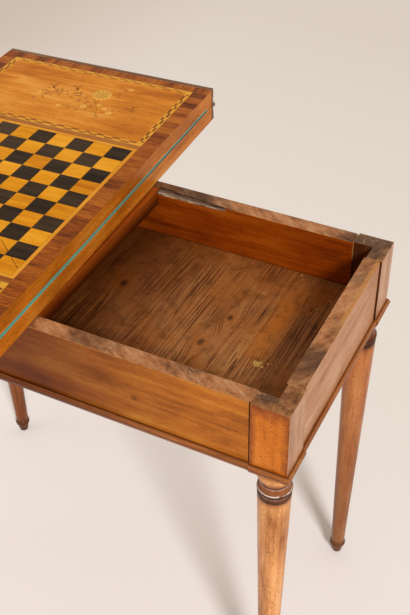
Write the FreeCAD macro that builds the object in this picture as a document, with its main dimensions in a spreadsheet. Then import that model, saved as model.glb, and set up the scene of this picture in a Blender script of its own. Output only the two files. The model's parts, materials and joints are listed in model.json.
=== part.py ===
import FreeCAD, Part
import os
import re

import Sketcher

# A games table whose folded top swivels on an off-centre pivot and opens like a book.
# X runs along the frame to the right, Y to the back and Z up. The origin is on the floor, under the
# middle of the frame. The top is drawn square to the frame, then turned about its pivot to the place
# where it stands open: a little short of a quarter turn.

# Driving dimensions, in millimetres and degrees.
SIZES = {
    # Frame: over the posts, and up to the top of the rails.
    "frame_length": 764.0,
    "frame_depth": 384.0,
    "frame_height": 706.0,
    "post_side": 52.0,
    "post_wall": 24.0,
    # Rails and their tenons. The groove is the dark line beside each post.
    "rail_height": 119.5,
    "rail_thickness": 24.0,
    "rail_set_back": 2.5,
    "rail_groove_width": 2.5,
    "rail_groove_depth": 2.0,
    "tenon_length": 30.0,
    "tenon_thickness": 10.0,
    "tenon_inset": 7.0,
    "tenon_shoulder": 14.0,
    "tenon_fit": 0.1,
    # A long splinter is missing from the inner top edge of the back rail.
    "splinter_length": 140.0,
    "splinter_width": 8.0,
    "splinter_depth": 7.0,
    # Turned leg, from the floor to the post.
    "foot_radius": 8.5,
    "toe_height": 17.0,
    "ankle_radius": 12.0,
    "foot_ring_height": 11.0,
    "foot_ring_bulge": 2.3,
    "shaft_top_radius": 23.3,
    "shaft_shoulder": 3.0,
    "ring_height": 10.0,
    "ring_bulge": 2.8,
    "neck_radius": 21.3,
    "neck_height": 15.0,
    "neck_hollow": 1.0,
    "cushion_height": 21.5,
    "cushion_bulge": 4.0,
    "collar_height": 2.0,
    # Bead moulding along the foot of the frame.
    "moulding_height": 12.5,
    "moulding_fillet": 1.8,
    "moulding_bead": 2.2,
    "rail_moulding_reach": 5.5,
    "post_moulding_reach": 5.0,
    # Compartment floor, its bearers and nails.
    "compartment_depth": 80.0,
    "floor_thickness": 12.0,
    "floor_joint": 20.0,
    "floor_fit": 0.3,
    "bearer_width": 16.0,
    "bearer_height": 16.0,
    "bearer_end_gap": 0.5,
    "nail_head_radius": 2.6,
    "nail_head_height": 0.8,
    "nail_radius": 1.2,
    "nail_length": 24.0,
    "nail_fit": 0.1,
    # Pivot board, let into the front and the back rail.
    "pivot_board_thickness": 26.0,
    "pivot_board_reach": 8.0,
    "pivot_board_sink": 0.5,
    "housing_depth": 7.0,
    "housing_fit": 0.2,
    # Pivot: a flanged bolt in the lower leaf, held under the board by a washer and a square nut.
    "swivel_rest": 2.1,
    "pivot_radius": 8.0,
    "pivot_fit": 0.06,
    "flange_radius": 30.0,
    "flange_thickness": 5.0,
    "flange_fit": 0.2,
    "flange_screw_circle": 20.0,
    "flange_screw_radius": 2.0,
    "flange_screw_head_radius": 4.0,
    "flange_screw_head_height": 2.5,
    "flange_screw_length": 18.0,
    "washer_radius": 20.0,
    "washer_thickness": 3.0,
    "washer_gap": 0.3,
    "nut_side": 26.0,
    "nut_height": 12.0,
    "bolt_tail": 3.0,
    # Leaves.
    "leaf_length": 800.0,
    "leaf_width": 400.0,
    "leaf_thickness": 28.0,
    "leaf_clearance": 0.7,
    "leaf_play": 0.8,
    "fold_gap": 0.15,
    "lipping_thickness": 8.0,
    # Inner faces: a border on three sides of the baize, which is turned over the fold edge.
    "border_thickness": 1.2,
    "border_width": 26.0,
    "border_end_width": 18.0,
    "baize_thickness": 1.0,
    "baize_lip": 1.3,
    "baize_fit": 0.1,
    # Marquetry on the outside of the upper leaf.
    "veneer_thickness": 2.0,
    "crossband_width": 26.0,
    "crossband_end_width": 18.0,
    "string_width": 6.0,
    "divider_width": 10.0,
    "panel_border_width": 11.0,
    # Hinges, let into the ends of the leaves at the fold.
    "hinge_thickness": 3.0,
    "hinge_strap_length": 46.0,
    "hinge_strap_height": 12.0,
    "hinge_strap_fit": 0.1,
    "hinge_eye_radius": 4.0,
    "hinge_eye_gap": 0.2,
    "hinge_notch_room": 0.3,
    "hinge_pin_radius": 1.6,
    "hinge_pin_fit": 0.05,
    "hinge_screw_first": 16.0,
    "hinge_screw_pitch": 20.0,
    "hinge_screw_radius": 1.5,
    "hinge_screw_head_radius": 2.8,
    "hinge_screw_head_height": 1.5,
    "hinge_screw_length": 16.0,
    "screw_fit": 0.1,
    # How far a cut runs past the face that it opens.
    "overrun": 1.0,
}

# Counts.
SQUARES_PER_SIDE = 10
NAILS_PER_BOARD = 3
FLANGE_SCREWS = 4
HINGE_SCREWS = 2

# The missing splinter seen from above, as shares of its length and width.
SPLINTER_SHARES = [(0.0, 0.0), (1.0, 0.0), (0.7, 0.22), (0.52, 0.5), (0.3, 0.62), (0.14, 0.95), (0.0, 1.0)]

# Points closer than this are the same point of a sketch.
TOUCH = 1e-6

# Levels and planes that several pieces share.
RAIL_FOOT = "(frame_height - rail_height)"
TENON_TOP = "(frame_height - tenon_shoulder)"
TENON_FOOT = f"({RAIL_FOOT} + tenon_shoulder)"
FLOOR_TOP = "(frame_height - compartment_depth)"
FLOOR_FOOT = f"({FLOOR_TOP} - floor_thickness)"
BEARER_FOOT = f"({FLOOR_FOOT} - bearer_height)"
INNER_FACE = "(rail_set_back + rail_thickness)"
INNER_X = f"(frame_length / 2 - {INNER_FACE})"
INNER_Y = f"(frame_depth / 2 - {INNER_FACE})"
RAIL_END_X = "(frame_length / 2 - post_side)"
PIVOT_BOARD_TOP = "(frame_height - pivot_board_sink)"
PIVOT_BOARD_FOOT = f"({PIVOT_BOARD_TOP} - pivot_board_thickness)"
LEAF_FOOT = "(frame_height + leaf_clearance)"
FOLD_LEVEL = f"({LEAF_FOOT} + leaf_thickness + leaf_play / 2)"
LEAF_END = "(leaf_length / 2)"
GROUND_END = f"({LEAF_END} - lipping_thickness)"
BAIZE_END = f"({GROUND_END} - border_end_width)"
BAND_END = f"({GROUND_END} - crossband_end_width)"
OUTER_EDGE = "(-leaf_width)"
FOLD_EDGE = "(-fold_gap)"
BAND_OUTER = f"({OUTER_EDGE} + crossband_width)"
BAND_INNER = "(-crossband_width)"
SQUARE = f"((leaf_width - 2 * crossband_width - 2 * string_width) / {SQUARES_PER_SIDE})"
BOARD_HALF = f"({SQUARE} * {SQUARES_PER_SIDE} / 2)"
STRING_HALF = f"({BOARD_HALF} + string_width)"
PANEL_START = f"({STRING_HALF} + divider_width)"
# A pivot a quarter of the leaf's width off centre, both ways, lets the closed top cover the frame
# and the turned top lie with its fold edge over the middle of the frame.
PIVOT_X = "(-leaf_width / 4)"
PIVOT_Y = "(leaf_width / 4)"

doc = FreeCAD.newDocument("games_table")
nodes = []


def make_sheet():
    """Spreadsheet with one named cell for each driving dimension."""
    sheet = doc.addObject("Spreadsheet::Sheet", "sizes")
    for row, (alias, value) in enumerate(SIZES.items(), start=1):
        sheet.set(f"A{row}", alias)
        sheet.set(f"B{row}", str(value))
        sheet.setAlias(f"B{row}", alias)
    doc.recompute()
    return sheet


sheet = make_sheet()


def bound(text):
    """Expression in which each size name stands for its cell."""
    return re.sub(r"[a-z_]+", lambda word: "sizes." + word[0] if word[0] in SIZES else word[0], text)


def number(text):
    """Present value of an expression."""
    return float(sheet.evalExpression(bound(text)))


def bind(piece, bindings):
    """Bind properties of a piece to expressions."""
    for name, text in bindings.items():
        piece.setExpression(name, bound(text))


def move(piece, x="0", y="0", z="0"):
    """Bind the place of a piece."""
    bind(piece, {"Placement.Base.x": x, "Placement.Base.y": y, "Placement.Base.z": z})


def turn_upright(piece, degrees):
    """Turn a piece about its own upright axis."""
    upright = FreeCAD.Vector(0, 0, 1)
    piece.Placement = FreeCAD.Placement(FreeCAD.Vector(), FreeCAD.Rotation(upright, degrees))


def node(piece, label):
    """Name a finished sub-part and list it for export."""
    piece.Label = label
    nodes.append(piece)
    return piece


def mirrored(span, side):
    """The span itself on the far side of the middle, or its mirror image on the near side."""
    low, high = span
    return (low, high) if side == "far" else (f"-({high})", f"-({low})")


# Simple solids and their combinations.


def slab(name, x, y, z):
    """Box between two planes each way."""
    piece = doc.addObject("Part::Box", name)
    for size, (low, high) in zip(("Length", "Width", "Height"), (x, y, z)):
        piece.setExpression(size, bound(f"({high}) - ({low})"))
    move(piece, x[0], y[0], z[0])
    return piece


def upright_rod(name, x, y, z, radius):
    """Round rod along Z."""
    piece = doc.addObject("Part::Cylinder", name)
    bind(piece, {"Radius": radius, "Height": f"({z[1]}) - ({z[0]})"})
    move(piece, x, y, z[0])
    return piece


def level_rod(name, x, y, z, radius):
    """Round rod along Y."""
    piece = doc.addObject("Part::Cylinder", name)
    piece.Placement = FreeCAD.Placement(FreeCAD.Vector(), FreeCAD.Rotation(FreeCAD.Vector(1, 0, 0), -90))
    bind(piece, {"Radius": radius, "Height": f"({y[1]}) - ({y[0]})"})
    move(piece, x, y[0], z)
    return piece


def joined(name, pieces):
    """Solid made of pieces that meet or overlap."""
    union = doc.addObject("Part::MultiFuse", name)
    union.Shapes = pieces
    return union


def cut(name, base, tools):
    """Solid with the tools taken out of it."""
    result = doc.addObject("Part::Cut", name)
    result.Base = base
    result.Tool = tools[0] if len(tools) == 1 else joined(name + "_tools", tools)
    return result


def group(name, pieces):
    """Several separate solids of one node."""
    compound = doc.addObject("Part::Compound", name)
    compound.Links = pieces
    return compound


def on_top(label, pieces):
    """Finish a sub-part of the top: drawn square to the frame, turned with the top about the pivot."""
    piece = group(label, pieces)
    turn_upright(piece, 1)
    bind(piece, {
        "Placement.Rotation.Angle": "swivel_rest",
        "Placement.Base.x": f"{PIVOT_X} - cos(swivel_rest) * {PIVOT_X} + sin(swivel_rest) * {PIVOT_Y}",
        "Placement.Base.y": f"{PIVOT_Y} - sin(swivel_rest) * {PIVOT_X} - cos(swivel_rest) * {PIVOT_Y}",
    })
    return node(piece, label)


# Sketches.


def sketch_on(body, role, name, offset="0"):
    """Sketch on one of the body's own planes, moved along the plane's normal."""
    sketch = body.newObject("Sketcher::SketchObject", name)
    plane = next(plane for plane in body.Origin.OriginFeatures if plane.Role == role)
    sketch.AttachmentSupport = [(plane, "")]
    sketch.MapMode = "FlatFace"
    sketch.setExpression(".AttachmentOffset.Base.z", bound(offset))
    return sketch


def fix_point(sketch, side, end, across, up):
    """Tie one end of a side to its place, given as expressions."""
    for kind, axis, text in (("DistanceX", -2, across), ("DistanceY", -1, up)):
        if text == "0":
            sketch.addConstraint(Sketcher.Constraint("PointOnObject", side, end, axis))
        else:
            index = sketch.addConstraint(Sketcher.Constraint(kind, -1, 1, side, end, number(text)))
            sketch.setExpression(f"Constraints[{index}]", bound(text))


def outline(sketch, corners, closed=True):
    """Draw straight sides through the corners, given as (across, up) or (across, up, bulge).

    A bulge makes the side that starts there an arc over an upright chord, standing that far out
    in the direction of across, or hollowed by it where it is negative.
    """
    places = [FreeCAD.Vector(number(corner[0]), number(corner[1]), 0) for corner in corners]
    first = sketch.GeometryCount
    count = len(corners) if closed else len(corners) - 1
    ends = []
    for index in range(count):
        start, stop = places[index], places[(index + 1) % len(places)]
        if len(corners[index]) == 3:
            middle = (start + stop) * 0.5 + FreeCAD.Vector(number(corners[index][2]), 0, 0)
            side = sketch.addGeometry(Part.Arc(start, middle, stop))
            ends.append((1, 2) if sketch.getPoint(side, 1).isEqual(start, TOUCH) else (2, 1))
        else:
            side = sketch.addGeometry(Part.LineSegment(start, stop))
            ends.append((1, 2))
    for index in range(count if closed else count - 1):
        following = (index + 1) % count
        link = (first + index, ends[index][1], first + following, ends[following][0])
        sketch.addConstraint(Sketcher.Constraint("Coincident", *link))
    for index in range(count):
        fix_point(sketch, first + index, ends[index][0], *corners[index][:2])
        if len(corners[index]) == 3:
            across, low, bulge = corners[index]
            high = corners[(index + 1) % len(corners)][1]
            radius = f"((({high}) - ({low}))^2 / 4 + ({bulge})^2) / (2 * ({bulge}))"
            centre = f"({across}) + ({bulge}) - {radius}"
            tie = Sketcher.Constraint("DistanceX", -1, 1, first + index, 3, number(centre))
            sketch.setExpression(f"Constraints[{sketch.addConstraint(tie)}]", bound(centre))
    if not closed:
        fix_point(sketch, first + count - 1, ends[-1][1], *corners[-1])


def rectangle(sketch, x, y):
    """Draw a rectangle between two lines each way."""
    outline(sketch, [(x[0], y[0]), (x[1], y[0]), (x[1], y[1]), (x[0], y[1])])


def take_out(body, sketch, name, depth):
    """Cut a pocket straight down from a level sketch, and make sure that it takes wood away."""
    doc.recompute()
    before = body.Shape.Volume
    pocket = body.newObject("PartDesign::Pocket", name)
    pocket.Profile = sketch
    pocket.setExpression("Length", bound(depth))
    doc.recompute()
    if body.Shape.Volume >= before:
        raise RuntimeError(f"{name} takes nothing out of {body.Label}")


# Frame.


def make_leg(label, x_side, y_side, quarters):
    """Leg of one piece: turned below, square above, hollowed inside for the compartment.

    It is drawn about its own axis, as at the front right, with its outer faces to +X and -Y.
    """
    body = doc.addObject("PartDesign::Body", label)
    cushion_top = f"({RAIL_FOOT} - collar_height)"
    cushion_foot = f"({cushion_top} - cushion_height)"
    neck_foot = f"({cushion_foot} - neck_height)"
    ring_foot = f"({neck_foot} - ring_height)"
    profile = sketch_on(body, "XZ_Plane", label + "_profile")
    outline(profile, [
        ("0", "0"),
        ("foot_radius", "0"),
        ("ankle_radius", "toe_height", "foot_ring_bulge"),
        ("ankle_radius", "toe_height + foot_ring_height"),
        ("shaft_top_radius", f"{ring_foot} - shaft_shoulder"),
        ("neck_radius", ring_foot, "ring_bulge"),
        ("neck_radius", neck_foot, "-neck_hollow"),
        ("neck_radius", cushion_foot, "cushion_bulge"),
        ("neck_radius", cushion_top),
        ("neck_radius", RAIL_FOOT),
        ("0", RAIL_FOOT),
    ])
    turning = body.newObject("PartDesign::Revolution", label + "_turning")
    turning.Profile = profile
    turning.ReferenceAxis = (profile, ["V_Axis"])

    half = "(post_side / 2)"
    square = sketch_on(body, "XY_Plane", label + "_square", RAIL_FOOT)
    rectangle(square, (f"-{half}", half), (f"-{half}", half))
    post = body.newObject("PartDesign::Pad", label + "_post")
    post.Profile = square
    post.setExpression("Length", bound("rail_height"))

    hollow = sketch_on(body, "XY_Plane", label + "_hollow_plan", "frame_height")
    wall = f"({half} - post_wall)"
    rectangle(hollow, (f"-{half} - overrun", wall), (f"-{wall}", f"{half} + overrun"))
    take_out(body, hollow, label + "_hollow", f"frame_height - {FLOOR_FOOT}")

    mortises = sketch_on(body, "XY_Plane", label + "_mortise_plan", f"{TENON_TOP} + tenon_fit")
    near = f"({half} - tenon_inset + tenon_fit)"
    far = f"({half} - tenon_inset - tenon_thickness - tenon_fit)"
    bottom = f"({half} - tenon_length - tenon_fit)"
    rectangle(mortises, (f"-{half} - overrun", f"-{bottom}"), (f"-{near}", f"-{far}"))
    rectangle(mortises, (far, near), (bottom, f"{half} + overrun"))
    take_out(body, mortises, label + "_mortises", f"{TENON_TOP} - {TENON_FOOT} + 2 * tenon_fit")

    turn_upright(body, 90 * quarters)
    move(body, f"{x_side} * (frame_length - post_side) / 2", f"{y_side} * (frame_depth - post_side) / 2")
    return node(body, label)


def make_rail(label, span, x, y, quarters, housing=None, splinter=None):
    """Rail with a tenon at each end.

    It is drawn as at the front: X along it, Y inwards from the outer face of the posts.
    """
    half = f"({span} / 2 - post_side)"
    inner = INNER_FACE
    bar = slab(label + "_bar", (f"-{half}", half), ("rail_set_back", inner), (RAIL_FOOT, "frame_height"))
    reach = f"({half} + tenon_length)"
    tenon_back = "tenon_inset + tenon_thickness"
    thick = ("tenon_inset", tenon_back)
    tenons = slab(label + "_tenons", (f"-{reach}", reach), thick, (TENON_FOOT, TENON_TOP))
    depth = ("rail_set_back - overrun", "rail_set_back + rail_groove_depth")
    height = (f"{RAIL_FOOT} - overrun", "frame_height + overrun")
    tools = []
    for side in ("far", "near"):
        groove = mirrored((f"{half} - rail_groove_width", half), side)
        tools.append(slab(f"{label}_groove_{side}", groove, depth, height))
    bar = cut(label + "_grooved", bar, tools)
    tools = []
    if housing:
        deep = (f"{inner} - housing_depth", f"{inner} + overrun")
        tools.append(slab(label + "_housing", housing, deep, (PIVOT_BOARD_FOOT, "frame_height + overrun")))
    if splinter:
        tools.append(splinter)
    rail = joined(label + "_blank", [bar, tenons])
    if tools:
        rail = cut(label, rail, tools)
    turn_upright(rail, 90 * quarters)
    move(rail, x, y)
    return node(rail, label)


def make_splinter():
    """The piece missing from the inner top edge of the back rail, beside the pivot board.

    The back rail is drawn turned half round, so its own -X is the right of the table.
    """
    plan = doc.addObject("Sketcher::SketchObject", "splinter_plan")
    plan.setExpression(".Placement.Base.z", bound("frame_height - splinter_depth"))
    corners = []
    for along_share, across_share in SPLINTER_SHARES:
        along = f"-(pivot_board_reach + housing_fit + {along_share} * splinter_length)"
        across = f"{INNER_FACE} + overrun - {across_share} * (splinter_width + overrun)"
        corners.append((along, across))
    outline(plan, corners)
    splinter = doc.addObject("Part::Extrusion", "splinter")
    splinter.Base = plan
    splinter.DirMode = "Custom"
    splinter.Dir = FreeCAD.Vector(0, 0, 1)
    splinter.Solid = True
    splinter.setExpression("LengthFwd", bound("splinter_depth + overrun"))
    return splinter


def moulding_corners(face, reach):
    """Bead between two small fillets, outwards being the direction of -Y."""
    chord = f"{face} - ({reach} - moulding_bead)"
    foot = RAIL_FOOT
    top = f"({RAIL_FOOT} + moulding_height)"
    return [
        (face, foot),
        (face, top),
        (chord, top),
        (chord, f"{top} - moulding_fillet", "-moulding_bead"),
        (chord, f"{foot} + moulding_fillet"),
        (chord, foot),
    ]


def make_rail_moulding(label, span, x, y, quarters):
    """Bead moulding along the foot of a rail, from post to post."""
    body = doc.addObject("PartDesign::Body", label)
    profile = sketch_on(body, "YZ_Plane", label + "_profile")
    outline(profile, moulding_corners("rail_set_back", "rail_moulding_reach"))
    strip = body.newObject("PartDesign::Pad", label + "_strip")
    strip.Profile = profile
    strip.Midplane = True
    strip.setExpression("Length", bound(f"{span} - 2 * post_side"))
    turn_upright(body, 90 * quarters)
    move(body, x, y)
    return node(body, label)


def make_post_moulding(label, x_side, y_side, quarters):
    """Bead moulding round the two outer faces of a post, mitred at the corner."""
    body = doc.addObject("PartDesign::Body", label)
    half = "(post_side / 2)"
    path = sketch_on(body, "XY_Plane", label + "_path", RAIL_FOOT)
    outline(path, [(f"-{half}", f"-{half}"), (half, f"-{half}"), (half, half)], closed=False)
    profile = sketch_on(body, "YZ_Plane", label + "_profile", f"-{half}")
    outline(profile, moulding_corners(f"-{half}", "post_moulding_reach"))
    strip = body.newObject("PartDesign::AdditivePipe", label + "_strip")
    strip.Profile = profile
    strip.Spine = (path, ["Edge1", "Edge2"])
    strip.Transition = "Right corner"
    turn_upright(body, 90 * quarters)
    move(body, f"{x_side} * (frame_length - post_side) / 2", f"{y_side} * (frame_depth - post_side) / 2")
    return node(body, label)


def nail_places(low, high):
    """Places of a board's nails, evenly spaced along one bearer."""
    shares = [(index + 0.5) / NAILS_PER_BOARD for index in range(NAILS_PER_BOARD)]
    return [f"({low}) + (({high}) - ({low})) * {share}" for share in shares]


def make_floor():
    """Two wide boards, the bearers that carry them and the nails driven up through the bearers."""
    deep = (f"-{INNER_Y} + floor_fit", f"{INNER_Y} - floor_fit")
    boards = {
        "floor_board_left": (f"-{INNER_X} + floor_fit", "-floor_joint"),
        "floor_board_right": ("-floor_joint", f"{INNER_X} - floor_fit"),
    }
    rows = {
        "front": (f"-{INNER_Y}", f"-{INNER_Y} + bearer_width"),
        "back": (f"{INNER_Y} - bearer_width", INNER_Y),
    }
    nail_tip = f"{BEARER_FOOT} + nail_length"
    nails = []
    holes = {}
    for board, wide in boards.items():
        for row, across in rows.items():
            middle = f"(({across[0]}) + ({across[1]})) / 2"
            for index, place in enumerate(nail_places(*wide)):
                name = f"{board}_{row}_{index}"
                shank = upright_rod(name + "_nail", place, middle, (BEARER_FOOT, nail_tip), "nail_radius")
                rim = (f"{BEARER_FOOT} - nail_head_height", BEARER_FOOT)
                head = upright_rod(name + "_nail_head", place, middle, rim, "nail_head_radius")
                nails.append(joined(name + "_whole_nail", [shank, head]))
                bore = (f"{BEARER_FOOT} - overrun", f"{nail_tip} + nail_fit")
                for piece in (board, row):
                    hole = f"{name}_hole_in_{piece}"
                    tool = upright_rod(hole, place, middle, bore, "nail_radius + nail_fit")
                    holes.setdefault(piece, []).append(tool)
    for board, wide in boards.items():
        blank = slab(board + "_blank", wide, deep, (FLOOR_FOOT, FLOOR_TOP))
        node(cut(board, blank, holes[board]), board)
    length = (f"-{RAIL_END_X} + bearer_end_gap", f"{RAIL_END_X} - bearer_end_gap")
    for row, across in rows.items():
        label = "floor_bearer_" + row
        blank = slab(label + "_blank", length, across, (BEARER_FOOT, FLOOR_FOOT))
        node(cut(label, blank, holes[row]), label)
    node(group("floor_nails", nails), "floor_nails")


def make_pivot_board():
    """Fixed board over the left half, with tongues in the housings of the front and the back rail."""
    thick = (PIVOT_BOARD_FOOT, PIVOT_BOARD_TOP)
    wide = (f"-{INNER_Y} + housing_fit", f"{INNER_Y} - housing_fit")
    field = slab("pivot_board_field", (f"-{INNER_X} + housing_fit", "pivot_board_reach"), wide, thick)
    reach = f"({INNER_Y} + housing_depth - housing_fit)"
    along = (f"-{RAIL_END_X} + housing_fit", "pivot_board_reach")
    tongues = slab("pivot_board_tongues", along, (f"-{reach}", reach), thick)
    through = (f"{PIVOT_BOARD_FOOT} - overrun", f"{PIVOT_BOARD_TOP} + overrun")
    hole = upright_rod("pivot_board_hole", PIVOT_X, PIVOT_Y, through, "pivot_radius + pivot_fit")
    board = joined("pivot_board_blank", [field, tongues])
    node(cut("pivot_board", board, [hole]), "pivot_board")


def make_frame():
    """All pieces that stand still."""
    corners = {
        "front_right": (1, -1, 0),
        "back_right": (1, 1, 1),
        "back_left": (-1, 1, 2),
        "front_left": (-1, -1, 3),
    }
    for corner, (x_side, y_side, quarters) in corners.items():
        make_leg("leg_" + corner, x_side, y_side, quarters)
        make_post_moulding("post_moulding_" + corner, x_side, y_side, quarters)
    housing_end = "pivot_board_reach + housing_fit"
    front_housing = (f"-{RAIL_END_X}", housing_end)
    back_housing = (f"-({housing_end})", RAIL_END_X)
    make_rail("rail_front", "frame_length", "0", "-frame_depth / 2", 0, front_housing)
    make_rail("rail_right", "frame_depth", "frame_length / 2", "0", 1)
    make_rail("rail_back", "frame_length", "0", "frame_depth / 2", 2, back_housing, make_splinter())
    make_rail("rail_left", "frame_depth", "-frame_length / 2", "0", 3)
    make_rail_moulding("rail_moulding_front", "frame_length", "0", "-frame_depth / 2", 0)
    make_rail_moulding("rail_moulding_right", "frame_depth", "frame_length / 2", "0", 1)
    make_rail_moulding("rail_moulding_back", "frame_length", "0", "frame_depth / 2", 2)
    make_rail_moulding("rail_moulding_left", "frame_depth", "-frame_length / 2", "0", 3)
    make_floor()
    make_pivot_board()


# The two leaves. Depths are counted from a leaf's inner face, which lies on the fold.


def layer(leaf, shallow, deep):
    """Heights of a layer of a leaf, between two depths."""
    if leaf == "upper":
        return f"{FOLD_LEVEL} + leaf_play / 2 + {shallow}", f"{FOLD_LEVEL} + leaf_play / 2 + {deep}"
    return f"{FOLD_LEVEL} - leaf_play / 2 - ({deep})", f"{FOLD_LEVEL} - leaf_play / 2 - ({shallow})"


def hinge_screw_places(leaf):
    """Places, across and up, of the screws in one hinge plate."""
    low, high = layer(leaf, "0", "hinge_strap_height")
    level = f"(({low}) + ({high})) / 2"
    return [(f"-(hinge_screw_first + {index} * hinge_screw_pitch)", level) for index in range(HINGE_SCREWS)]


def hinge_screw_holes(leaf, side, owner):
    """Bores for the shanks of one plate's screws."""
    span = mirrored((f"{LEAF_END} - hinge_screw_length - screw_fit", f"{LEAF_END} + overrun"), side)
    holes = []
    for index, (across, level) in enumerate(hinge_screw_places(leaf)):
        name = f"{owner}_screw_hole_{side}_{index}"
        holes.append(level_rod(name, across, span, level, "hinge_screw_radius + screw_fit"))
    return holes


def make_ground(leaf, deep, tools):
    """Ground board of a leaf, rebated at the fold edge for the turned-over baize."""
    label = leaf + "_leaf_ground"
    along = (f"-{GROUND_END}", GROUND_END)
    blank = slab(label + "_blank", (OUTER_EDGE, FOLD_EDGE), along, layer(leaf, "border_thickness", deep))
    rebate_x = (f"{FOLD_EDGE} - baize_thickness", f"{FOLD_EDGE} + overrun")
    rebate_z = layer(leaf, "border_thickness - overrun", "border_thickness + baize_lip")
    tools = tools + [slab(label + "_rebate", rebate_x, (f"-{BAIZE_END}", BAIZE_END), rebate_z)]
    for side in ("far", "near"):
        tools += hinge_screw_holes(leaf, side, label)
    return on_top(label, [cut(label + "_cut", blank, tools)])


def make_lippings(leaf):
    """End lippings of a leaf, let in for the hinge plates and notched round their eyes."""
    for side in ("far", "near"):
        label = f"{leaf}_lipping_{side}"
        blank = slab(
            label + "_blank",
            (OUTER_EDGE, FOLD_EDGE),
            mirrored((GROUND_END, LEAF_END), side),
            layer(leaf, "0", "leaf_thickness"),
        )
        bed = slab(
            label + "_bed",
            (f"{FOLD_EDGE} - hinge_strap_length - hinge_strap_fit", f"{FOLD_EDGE} + overrun"),
            mirrored((f"{LEAF_END} - hinge_thickness", f"{LEAF_END} + overrun"), side),
            layer(leaf, "-overrun", "hinge_strap_height + hinge_strap_fit"),
        )
        notch = level_rod(
            label + "_notch",
            "0",
            mirrored((f"{LEAF_END} - hinge_thickness - hinge_eye_gap", f"{LEAF_END} + overrun"), side),
            FOLD_LEVEL,
            "hinge_eye_radius + hinge_notch_room",
        )
        tools = [bed, notch] + hinge_screw_holes(leaf, side, label)
        on_top(label, [cut(label + "_cut", blank, tools)])


def make_borders(leaf):
    """Border strips on three sides of a leaf's playing field."""
    thick = layer(leaf, "0", "border_thickness")
    across = (OUTER_EDGE, f"{OUTER_EDGE} + border_width")
    side_strip = slab(leaf + "_border_side_strip", across, (f"-{BAIZE_END}", BAIZE_END), thick)
    on_top(leaf + "_border_side", [side_strip])
    ends = []
    for side in ("far", "near"):
        along = mirrored((BAIZE_END, GROUND_END), side)
        ends.append(slab(f"{leaf}_border_end_{side}", (OUTER_EDGE, FOLD_EDGE), along, thick))
    on_top(leaf + "_border_ends", ends)


def make_baize(leaf):
    """Baize of a leaf, with its edge turned over the fold edge of the ground board."""
    length = f"({BAIZE_END} - baize_fit)"
    along = (f"-{length}", length)
    surface = "border_thickness - baize_thickness"
    across = (f"{OUTER_EDGE} + border_width + baize_fit", FOLD_EDGE)
    field = slab(leaf + "_baize_field", across, along, layer(leaf, surface, "border_thickness"))
    lip_x = (f"{FOLD_EDGE} - baize_thickness", FOLD_EDGE)
    lip = slab(leaf + "_baize_lip", lip_x, along, layer(leaf, surface, "border_thickness + baize_lip"))
    on_top(leaf + "_baize", [joined(leaf + "_baize_sheet", [field, lip])])


def eye_layer(leaf, room="0"):
    """Part of the hinge's thickness that a leaf's eye takes: the inner half for the lower leaf."""
    middle = f"{LEAF_END} - hinge_thickness / 2"
    if leaf == "lower":
        return f"{LEAF_END} - hinge_thickness - ({room})", f"{middle} - hinge_eye_gap / 2 + ({room})"
    return f"{middle} + hinge_eye_gap / 2 - ({room})", f"{LEAF_END} + ({room})"


def make_hinge_plates(leaf):
    """Hinge plates of a leaf: a strap in the end of the leaf and an eye round the fold line."""
    other = "upper" if leaf == "lower" else "lower"
    plates = []
    screws = []
    for side in ("far", "near"):
        name = f"{leaf}_hinge_{side}"
        strap = slab(
            name + "_strap",
            (f"{FOLD_EDGE} - hinge_strap_length", FOLD_EDGE),
            mirrored((f"{LEAF_END} - hinge_thickness", LEAF_END), side),
            layer(leaf, "0", "hinge_strap_height"),
        )
        clear = level_rod(
            name + "_clear",
            "0",
            mirrored(eye_layer(other, "hinge_eye_gap"), side),
            FOLD_LEVEL,
            "hinge_eye_radius + hinge_notch_room",
        )
        eye = level_rod(name + "_eye", "0", mirrored(eye_layer(leaf), side), FOLD_LEVEL, "hinge_eye_radius")
        blank = joined(name + "_blank", [cut(name + "_cleared", strap, [clear]), eye])
        through = mirrored((f"{LEAF_END} - hinge_thickness - overrun", f"{LEAF_END} + overrun"), side)
        pin_hole = "hinge_pin_radius + hinge_pin_fit"
        tools = [level_rod(name + "_pin_hole", "0", through, FOLD_LEVEL, pin_hole)]
        sink_foot = f"{LEAF_END} - hinge_screw_head_height - screw_fit"
        sunk = mirrored((sink_foot, f"{LEAF_END} + overrun"), side)
        bore = "hinge_screw_radius + screw_fit"
        sink = "hinge_screw_head_radius + screw_fit"
        for index, (across, level) in enumerate(hinge_screw_places(leaf)):
            screw = f"{name}_screw_{index}"
            tools.append(level_rod(screw + "_bore", across, through, level, bore))
            tools.append(level_rod(screw + "_sink", across, sunk, level, sink))
            reach = mirrored((f"{LEAF_END} - hinge_screw_length", LEAF_END), side)
            shank = level_rod(screw + "_shank", across, reach, level, "hinge_screw_radius")
            crown = mirrored((f"{LEAF_END} - hinge_screw_head_height", LEAF_END), side)
            head = level_rod(screw + "_head", across, crown, level, "hinge_screw_head_radius")
            screws.append(joined(screw, [shank, head]))
        plates.append(cut(name + "_plate", blank, tools))
    on_top(leaf + "_hinge_plates", plates)
    on_top(leaf + "_hinge_screws", screws)


def make_hinge_pins():
    """Pins through the eyes, fixed in the lower leaf's plates."""
    pins = []
    for side in ("far", "near"):
        reach = mirrored((f"{LEAF_END} - hinge_thickness + hinge_eye_gap", LEAF_END), side)
        pins.append(level_rod(f"hinge_pin_{side}", "0", reach, FOLD_LEVEL, "hinge_pin_radius"))
    on_top("hinge_pins", pins)


def flange_screw_places():
    """Places of the flange's screws on their circle."""
    places = []
    for index in range(FLANGE_SCREWS):
        turn = 360 / FLANGE_SCREWS * index
        x = f"{PIVOT_X} + flange_screw_circle * cos({turn})"
        y = f"{PIVOT_Y} + flange_screw_circle * sin({turn})"
        places.append((x, y))
    return places


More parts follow.
